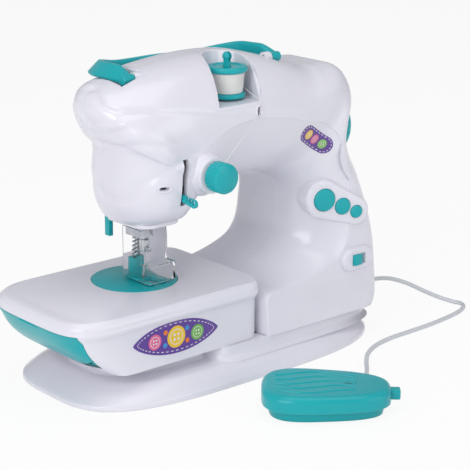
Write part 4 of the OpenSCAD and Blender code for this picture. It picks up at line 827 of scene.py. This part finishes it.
def rim(tree, x, z, rx, rz, thick):
    """A raised ring round an opening."""
    ring = [onto(tree, x + rx * c, z + rz * s, 0.15) for c, s in circle(40)]
    return tube_object("rim", ring + ring[:1], thick, [WHITE], 10)


def lens(x, z, rx, rz, turn, n):
    """A pointed oval."""
    return [turned((x, z), turn, (rx * c, rz * signed_power(s, 1.5), 0))[:2] for c, s in circle(n)]


def band(x, z, half_len, half_w, turn):
    """A strip with round ends."""
    pts = [(half_len + half_w * math.cos(a), half_w * math.sin(a))
           for a in np.linspace(-math.pi / 2, math.pi / 2, 14)]
    pts += [(u, half_w) for u in np.linspace(half_len, -half_len, 12)[1:-1]]
    pts += [(-u, -v) for u, v in pts]
    return [turned((x, z), turn, (u, v, 0))[:2] for u, v in pts]


def dashes(tree, outline, mat, lift, wide):
    """Stitches along an outline: every other step is a short bar."""
    out = []
    n = len(outline)
    for i in range(0, n, 2):
        a, b = np.array(outline[i]), np.array(outline[(i + 1) % n])
        t = b - a
        side = np.array([-t[1], t[0]]) / max(np.hypot(*t), 1e-6) * wide / 2
        out.append(patch(tree, [a - side, b - side, b + side, a + side], mat, lift, 1))
    return out


def print_button(tree, x, z, r, mat):
    """A sewing button: edge, ring, face and four thread holes."""
    out = [patch(tree, disc(x, z, r), mat, EDGE_LIFT), patch(tree, disc(x, z, r * 0.72), CREAM, RING_LIFT),
           patch(tree, disc(x, z, r * 0.64), mat, FACE_LIFT)]
    for i in range(4):
        a = 2 * math.pi * (i + 0.5) / 4
        hole = disc(x + r * 0.3 * math.cos(a), z + r * 0.3 * math.sin(a), r * 0.13, 14)
        out.append(patch(tree, hole, CREAM, HOLE_LIFT, 2))
    return out


face = surface(front)
rims = [rim(face, *r) for r in RIMS]
COLUMN_PRINT_AT, COLUMN_SLANT, COLUMN_STEP = (73.5, 150.0), math.radians(-32), 8.6
column_print = [patch(face, band(*COLUMN_PRINT_AT, 10.8, 6.2, COLUMN_SLANT), PURPLE, GROUND_LIFT, 10)]
column_print += dashes(face, band(*COLUMN_PRINT_AT, 10.6, 5.1, COLUMN_SLANT), CREAM, STITCH_LIFT, 0.5)
for k, mat in enumerate((YELLOW, PINK, GREEN)):
    x, z, _ = turned(COLUMN_PRINT_AT, COLUMN_SLANT, ((k - 1) * COLUMN_STEP, 0, 0))
    column_print += print_button(face, x, z, 3.5, mat)
column_print = join("column_print", *column_print)
finish_mesh(column_print, 60, outward=False)
ride(column_print, "machine", "white_shell")

front = join("front_casing", front, collar, boss, switch_pad, *rims)
finish_mesh(front, 32, outward=False)
ride(front, "machine", "white_shell", "front_shell")
ride(rear, "machine", "white_shell", "rear_shell")


# Base
SKIRT_X, SKIRT_Y, SKIRT_POWER = 132, 66.98, 3.4
# Height, and how far the skirt is drawn in there at the left and at the right
SKIRT_STEPS = curve_through([(0.0, 1.2, 1.2), (0.8, 0.2, 0.2), (2.2, 0, 0), (3.4, 0.15, 0.15), (4.4, 1.2, 1.0),
                             (6.2, 4.2, 3.8), (8.75, 9, 8), (11.2, 15.5, 9.4), (12.8, 20.5, 10),
                             (13.5, 24, 10.4)], 5)
# The necks under the bed and the column: reach to the left and right, half depth and power
BED_NECK, COLUMN_NECK = (102, 12, 38, 3.4), (30, 126, 55, 5)
NECK_FOOT = 12.9
# Height, and how far a neck flares out there
NECK_STEPS = [(NECK_FOOT, 4.0), (13.6, 2.2), (14.6, 0.9), (16.2, 0.2), (18, 0), (NECK, 0)]


def oval(left, right, half, n, count=220):
    """A rounded oval of power n whose ends reach differently to the left and right."""
    out = []
    for c, s in circle(count):
        c, s = signed_power(c, 2 / n), signed_power(s, 2 / n)
        out.append((c * left if c < 0 else c * right, half * s))
    return out


def skirt_ring(z, draw, lean, t=0.0):
    half = SKIRT_Y - draw * 0.42 - t
    return [(x, y, z) for x, y in oval(SKIRT_X - draw - t, SKIRT_X - lean - t, half, SKIRT_POWER)]


def neck_ring(neck, z, t):
    left, right, half, n = neck
    return [(x, y, z) for x, y in oval(left - t, right - t, half - t, n)]


def neck_wall(name, neck):
    rings = [neck_ring(neck, z, -flare) for z, flare in NECK_STEPS]
    rings += [neck_ring(neck, z, WALL) for z in (NECK, NECK_FOOT)]
    return rings_object(name, rings + [rings[0]], [WHITE], 40, caps=False)


def shoulder(name, side):
    """Closes the top of the column's neck beside the bed, in front or behind."""
    rings = [[p for p in neck_ring(COLUMN_NECK, z, WALL) if p[0] < 60 and p[1] * side > 36] for z in (21.2, 22.7)]
    return rings_object(name, rings, [WHITE])


outer = [skirt_ring(*s) for s in SKIRT_STEPS]
inner = [skirt_ring(0, 1.2, 1.2, WALL)] + [skirt_ring(z - WALL, d, e, WALL) for z, d, e in SKIRT_STEPS if z > 5]
count = len(outer[0])
last, start = (len(outer) - 1) * count, len(outer) * count
faces = grid(len(outer), count, True) + [tuple(last + i for i in range(count))]
faces += [tuple(start + i for i in f[::-1]) for f in grid(len(inner), count, True)]
faces.append(tuple(start + (len(inner) - 1) * count + i for i in range(count))[::-1])
faces += [(i, start + i, start + (i + 1) % count, (i + 1) % count) for i in range(count)]
skirt = mesh_object("skirt", [q for ring in outer + inner for q in ring], faces, [WHITE])
base = join("base_shell", skirt, neck_wall("neck_l", BED_NECK), neck_wall("neck_r", COLUMN_NECK),
            shoulder("shoulder_front", -1), shoulder("shoulder_rear", 1))
finish_mesh(base, 40, outward=False)
ride(base, "machine", "white_shell", "base_skirt")


# Bed and drawer
BED_JOINT, BED_CORNER, BED_POWER = 95.0, 12.0, 4.4
# Height, and how far the bed's end is drawn in there
BED_STEPS = curve_through([(23, 34), (27, 27), (34, 16), (43.5, 7), (54, 1.5), (58, 1.25), (60.6, 1.5), (62.4, 2.6),
                           (63.5, 4.6), (64, 7.5)], 6)
DRAWER_HALF, DRAWER_Z, PANEL_T = 45, (30.5, 55.5), 2.6
PLATE_AT, PLATE_HOLE_R = (-54, 6), 29.8


def bed_ring(z, draw, t):
    """The bed's outline at a height, drawn in by t: a rounded end and two round corners."""
    reach, b, r = BED_REACH - draw - t, BED_DEPTH / 2 - t - min(draw, 3) * 1.6, BED_CORNER
    out = []
    for i in range(121):
        a = math.pi / 2 + math.pi * i / 120
        c = -abs(math.cos(a)) ** (2 / BED_POWER)
        s = signed_power(math.sin(a), 2 / BED_POWER)
        out.append((-BED_JOINT + (reach - BED_JOINT) * c, b * s, z))
    for side, a0 in ((-1, -math.pi / 2), (1, 0.0)):
        out += [(BED_END - t - r + r * math.cos(a), side * (b - r) + r * math.sin(a), z)
                for a in np.linspace(a0, a0 + math.pi / 2, 14)]
    return out


def bed_solid(name, t, mats):
    rings = [bed_ring(min(max(z, NECK + t), BED_TOP - t), d, t) for z, d in BED_STEPS]
    return rings_object(name, rings, mats, 40)


def window(grow, x0, x1):
    return box_object("window", x0, x1, -DRAWER_HALF - grow, DRAWER_HALF + grow, DRAWER_Z[0] - grow,
                      DRAWER_Z[1] + grow)


bed = bed_solid("bed_casing", 0, [WHITE])
boolean(bed, bed_solid("core", WALL, [INNER]))
boolean(bed, window(FIT, -160, -112))
boolean(bed, rod_object("plate_hole", upright(*PLATE_AT), PLATE_HOLE_R, 60, 70, (), 96))
finish_mesh(bed, 32)
ride(bed, "machine", "white_shell", "bed_shell")

face = surface(bed)
BED_PRINT_AT, BED_PRINT_TILT = (-64, 40.5), math.radians(-2)
BED_BUTTONS = ((-82, 40.6, 5.4, PINK), (-64, 40.5, 7.6, YELLOW), (-46, 39.6, 5.4, GREEN))
BED_DOTS = ((-73, 45.2, ORANGE), (-73.4, 36.4, BLUE), (-54.8, 44.6, BLUE), (-54.6, 35.9, ORANGE))
bed_print = [patch(face, lens(*BED_PRINT_AT, 36, 11.5, BED_PRINT_TILT, 48), PURPLE, GROUND_LIFT, 7)]
bed_print += dashes(face, lens(*BED_PRINT_AT, 32.5, 9.6, BED_PRINT_TILT, 96), CREAM, STITCH_LIFT, 0.55)
for button in BED_BUTTONS:
    bed_print += print_button(face, *button)
bed_print += [patch(face, disc(x, z, 1.7), mat, EDGE_LIFT, 3) for x, z, mat in BED_DOTS]
bed_print = join("bed_print", *bed_print)
finish_mesh(bed_print, 60, outward=False)
ride(bed_print, "machine", "white_shell")

TRAY, TRAY_INSIDE = (-138.5, -82, -42, 42, 31.1, 51.5), (-146, -83.6, -40.4, 40.4, 32.7, 60)
NOTCH_AT = (-149.6, 56.6)
NOTCH = [(0.001, -11), (4.2, -11), (5.0, -9.6), (5.0, 9.6), (4.2, 11), (0.001, 11)]
panel = bed_solid("drawer_panel", 0.0, [TEAL])
boolean(panel, bed_solid("core", PANEL_T, [TEAL]))
boolean(panel, window(0, -160, -128), "INTERSECT")
boolean(panel, lathe("notch", NOTCH, [TEAL], lambda p: (NOTCH_AT[0] + p[0], p[2], NOTCH_AT[1] + p[1]), 40))
finish_mesh(panel, 32)
tray = box_object("tray", *TRAY, [TEAL_MATT])
boolean(tray, box_object("inside", *TRAY_INSIDE, [TEAL_MATT]))
boolean(tray, bed_solid("limit", 2.0, [TEAL_MATT]), "INTERSECT")
finish_mesh(tray, 32)
drawer = join("drawer_front_and_tray", panel, tray)
finish_mesh(drawer, 32, outward=False)
ride(drawer, "drawer", "teal_plastic", "drawer")


# CAD pieces that keep their shape get softened edges
NODE_BODY = {n: b for b, ns in frame["record"]["behaviour"]["bodies"].items() for n in ns}
NODE_SLOT = {s["node"]: s["material_slot"] for s in frame["record"]["subparts"]}


def polish(node, mat, width):
    """A copy of a node's mesh with bevelled edges takes its place."""
    me = frame["nodes"][node].data.copy()
    me.name = node + "_form"
    me.materials.clear()
    me.materials.append(mat)
    ob = link(bpy.data.objects.new(node + "_form", me))
    bm = bmesh.new()
    bm.from_mesh(me)
    bmesh.ops.remove_doubles(bm, verts=bm.verts, dist=WELD)
    bmesh.ops.dissolve_limit(bm, angle_limit=math.radians(0.6), verts=bm.verts, edges=bm.edges)
    for f in bm.faces:
        f.material_index = 0
    bm.to_mesh(me)
    bm.free()
    if width:
        bevel(ob, width)
    else:
        finish_mesh(ob, 32)
    return ride(ob, NODE_BODY[node], NODE_SLOT[node], node)


POLISHED = {
    "needle_plate": (TEAL, 0.4), "handwheel": (TEAL, 0.35), "tension_knob": (TEAL, 0.3),
    "thread_spool": (TEAL, 0.35), "spool_pin": (TEAL, 0.3), "presser_foot": (TEAL, 0.35),
    "take_up_lever": (TEAL, 0.35), "lift_tab": (TEAL, 0.4), "button_large": (TEAL, 0.5),
    "button_medium": (TEAL, 0.45), "button_small": (TEAL, 0.4), "slide_switch": (TEAL, 0.4),
    "head_floor": (WHITE, 0.5), "spool_well": (WHITE, 0.0), "handle_lugs": (WHITE, 0.3),
    "needle_guard": (CLEAR, 0.2), "base_plate": (INNER, 0.3), "battery_door": (INNER, 0.3),
    "cord_grommets": (LEAD, 0.2), "needle_bar": (STEEL, 0.2), "needle_clamp": (STEEL, 0.25),
    "clamp_screw": (STEEL, 0.2), "presser_bar": (STEEL, 0.2), "tension_discs": (STEEL, 0.08),
    "tension_post": (STEEL, 0.2), "casing_screws": (STEEL, 0.12),
}
polished = {node: polish(node, mat, width) for node, (mat, width) in POLISHED.items()}

# The head's rear corner is rounder than its solid: its floor and its screw follow it
GUARD_SEAT, SEAT_SHRINK, SEAT_TOP = (-48.5, 1.6), 0.95, 107
FLOOR_LEFT, FLOOR_REAR, LEFT_SQUEEZE, REAR_SQUEEZE = -62, 8, 0.5, 0.3
HEAD_SCREW_SHIFT = 18
for v in polished["head_floor"].data.vertices:
    x, y = v.co.x / MM, v.co.y / MM
    if v.co.z < SEAT_TOP * MM:
        x, y = (m + (c - m) * SEAT_SHRINK for m, c in zip(GUARD_SEAT, (x, y)))
    v.co.x = (min(x - FLOOR_LEFT, 0) * LEFT_SQUEEZE + max(x, FLOOR_LEFT)) * MM
    v.co.y = (max(y - FLOOR_REAR, 0) * REAR_SQUEEZE + min(y, FLOOR_REAR)) * MM
for v in polished["casing_screws"].data.vertices:
    if v.co.x < -68 * MM and v.co.z > 140 * MM:
        v.co.y -= HEAD_SCREW_SHIFT * MM

# The other CAD pieces only get a material
PLAIN = {
    "battery_box": DARK, "batteries": CANS, "needle_frame": DARK, "bearing_plates": DARK, "shaft_bushes": BRASS,
    "motor": STEEL, "motor_pinion": BRASS, "main_gear": NYLON, "main_shaft": STEEL, "upper_pulley": DARK,
    "crank_disc": NYLON, "drive_belt": RUBBER, "lower_shaft": STEEL, "lower_pulley": DARK, "looper_hook": STEEL,
    "lower_bearings": DARK, "needle_yoke": NYLON, "needle": STEEL, "button_board": BOARD, "pedal_pin": STEEL,
    "pedal_switch": DARK,
}
for node, mat in PLAIN.items():
    me = frame["nodes"][node].data
    me.materials.clear()
    me.materials.append(mat)


# Springs and thread
def coil(x, y, r0, r1, z0, z1, turns, per=24):
    """Points of an upright coil whose radius goes from r0 to r1."""
    n = int(turns * per)
    out = []
    for i in range(n + 1):
        a, r = 2 * math.pi * i / per, r0 + (r1 - r0) * i / n
        out.append((x + r * math.cos(a), y + r * math.sin(a), z0 + (z1 - z0) * i / n))
    return out


spring = tube_object("presser_coil", coil(-50, 7, 2.7, 2.7, 79.7, 95.3, 6), 0.4, [STEEL])
ride(spring, "machine", "brass", "presser_spring")
PEDAL_SPRING_AT = on_pedal((-17.64, 0, 0))[:2]
spring = tube_object("pedal_coil", coil(*PEDAL_SPRING_AT, 4, 4, 2.9, 14.2, 4), 0.5, [STEEL])
ride(spring, "machine", "steel", "pedal_spring")
wound = tube_object("wound_thread", coil(*SPOOL_AT, 10.4, 11.62, 190.9, 204.1, 24, 40), 0.36, [THREAD], 6)
core = lathe("thread_core", [(9.9, 190.55), (10.3, 190.7), (11.5, 204.3), (11.1, 204.45)], [THREAD],
             upright(*SPOOL_AT))
wound = join("wound_thread", wound, core)
finish_mesh(wound, 60, outward=False)
ride(wound, "spool", "thread", "spool_thread")
STRAND = [(15.6, -24, 194), (15.2, -33, 190.5), (14.4, -43.3, 187.2), (14, -44.3, 183.6), (14, -42.9, 181),
          (14, -42.5, 178.5), (14, -44.8, 177.9), (11, -45.4, 175.5), (-6, -48.6, 163.5), (-23, -51.9, 151.6),
          (-27, -51.75, 148.6)]
strand = tube_object("thread_strand", curve_through(STRAND, 6), 0.22, [THREAD], 6)
ride(strand, "machine", "thread", "thread_run")


# Carry handle
BAR_STEPS, PIN_R, PIN_LENGTH = 8, 2.0, 6
bar = curve_through([
    (ARM_X[0], LUG_Y, LUG_Z), (ARM_X[0] - 0.5, 0, LUG_Z + 2.7), (ARM_X[0] - 0.5, 11, LUG_Z + 3),
    (ARM_X[0] + 1.4, 22, LUG_Z + 2.4), (ARM_X[0] + 9.5, 33.5, LUG_Z + 1.2), (-42, 39, LUG_Z - 2),
    (-8, 41.5, LUG_Z - 2.5), (24, 40, LUG_Z - 3), (ARM_X[1] - 12, 34.5, LUG_Z - 0.6),
    (ARM_X[1] - 2, 23, LUG_Z + 2), (ARM_X[1] + 0.5, 11, LUG_Z + 2.5), (ARM_X[1] + 0.5, 0, LUG_Z + 2.7),
    (ARM_X[1], LUG_Y, LUG_Z)], BAR_STEPS)
PIVOT_SECTION = np.array([(-4.5, 1.3), (-3, 2.8), (3, 2.8), (4.5, 1.3),
                          (4.5, -1.3), (3, -2.8), (-3, -2.8), (-4.5, -1.3)])
GRIP_SECTION = np.array([(-6, -2.6), (1.2, 5), (3.6, 5), (4.5, 4.1),
                         (4.5, -3.7), (3.7, -4.5), (-5, -4.5), (-6, -3.6)])
EYE = [(0.001, -4.5), (2.9, -4.5), (3.4, -4.0), (3.4, 4.0), (2.9, 4.5), (0.001, 4.5)]
rings = []
for i, (p, t) in enumerate(zip(bar, np.gradient(bar, axis=0))):
    u = np.array([t[1], -t[0], 0.0])
    u /= np.linalg.norm(u)
    k = min(1.0, i / BAR_STEPS, (len(bar) - 1 - i) / BAR_STEPS)
    section = (1 - k) * PIVOT_SECTION + k * GRIP_SECTION
    rings.append([p + u * q[0] + np.array([0, 0, q[1]]) for q in section])
grip = rings_object("grip", rings, [TEAL], 40)
bevel(grip, 0.5, 3, 20)
parts = [grip]
for arm, pin in zip(ARM_X, (LUG_X[0] - FIT - 1, LUG_X[1] + FIT)):
    parts.append(lathe("eye", EYE, [TEAL], at_shaft(arm, LUG_Z, LUG_Y), 40))
    parts.append(rod_object("pin", at_shaft(pin, LUG_Z, LUG_Y), PIN_R, 0, PIN_LENGTH, [TEAL], 32))
handle = join("handle_bar", *parts)
finish_mesh(handle, 40, outward=False)
ride(handle, "handle", "teal_plastic", "carry_handle")


# Pedal
PEDAL_X, PEDAL_Y, PEDAL_TAPER, PEDAL_POWER = 41.95, 27.95, 5, 3
RIDGES, RIDGE_POINTS, RIDGE_Z, RIDGE_R, RIDGE_EDGE = 5, 25, 17.75, 0.9, 7
RIDGE_START, RIDGE_LENGTH, RIDGE_PITCH, RIDGE_WAVE = -33, 52, 7.4, 3.4


def pedal_ring(z, t):
    """The pedal's tapered outline at a height, drawn in by t."""
    out = []
    for c, s in circle(160):
        c, s = signed_power(c, 2 / PEDAL_POWER), signed_power(s, 2 / PEDAL_POWER)
        out.append(on_pedal(((PEDAL_X - t) * c, (PEDAL_Y - PEDAL_TAPER * (c + 0.2) - t) * s, z)))
    return out


PEDAL_STEPS = [(7, 0.4), (7.3, 0.1), (8, 0), (13.6, 0)]
PEDAL_STEPS += [(13.6 + 4.4 * math.sin(a), 5.2 * (1 - math.cos(a))) for a in np.linspace(0.2, math.pi / 2, 9)]
PEDAL_STEPS += [(18, 12), (18, 20), (18, 24)]
top = rings_object("pedal_top", [pedal_ring(*step) for step in PEDAL_STEPS], [TEAL], 40)
boolean(top, rings_object("hollow", [pedal_ring(6, 2), pedal_ring(15, 3)], [TEAL], 40))
finish_mesh(top, 32)
ridges = []
for k in range(RIDGES):
    line = []
    for i in range(RIDGE_POINTS):
        u = RIDGE_START + RIDGE_LENGTH * i / (RIDGE_POINTS - 1)
        half_w = (28 - PEDAL_TAPER * (u / 42 + 0.2)) * (1 - abs(u / 42) ** 3) ** (1 / 3)
        w = (k - 2) * RIDGE_PITCH + RIDGE_WAVE * math.sin(u * 0.11 + k * 0.6)
        if abs(w) < half_w - RIDGE_EDGE:
            line.append(on_pedal((u, w, RIDGE_Z)))
    if len(line) > 4:
        ridges.append(tube_object("ridge", line, RIDGE_R, [TEAL]))
lugs = [box_object("lug", 27.4, 32.6, s * 6 - 1.5, s * 6 + 1.5, 6.4, 16, [TEAL]) for s in (-1, 1)]
nose = box_object("nose", 39.5, 47.9, -3.5, 3.5, 8.2, 15, [TEAL])
for ob in lugs + [nose]:
    for v in ob.data.vertices:
        v.co = Vector(on_pedal([c / MM for c in v.co])) * MM
bevel(nose, 1.0, 3)
plate = join("pedal_top", top, nose, *lugs, *ridges)
finish_mesh(plate, 36, outward=False)
ride(plate, "pedal", "teal_plastic", "pedal_plate")
polish("pedal_base", TEAL_MATT, 0.4)

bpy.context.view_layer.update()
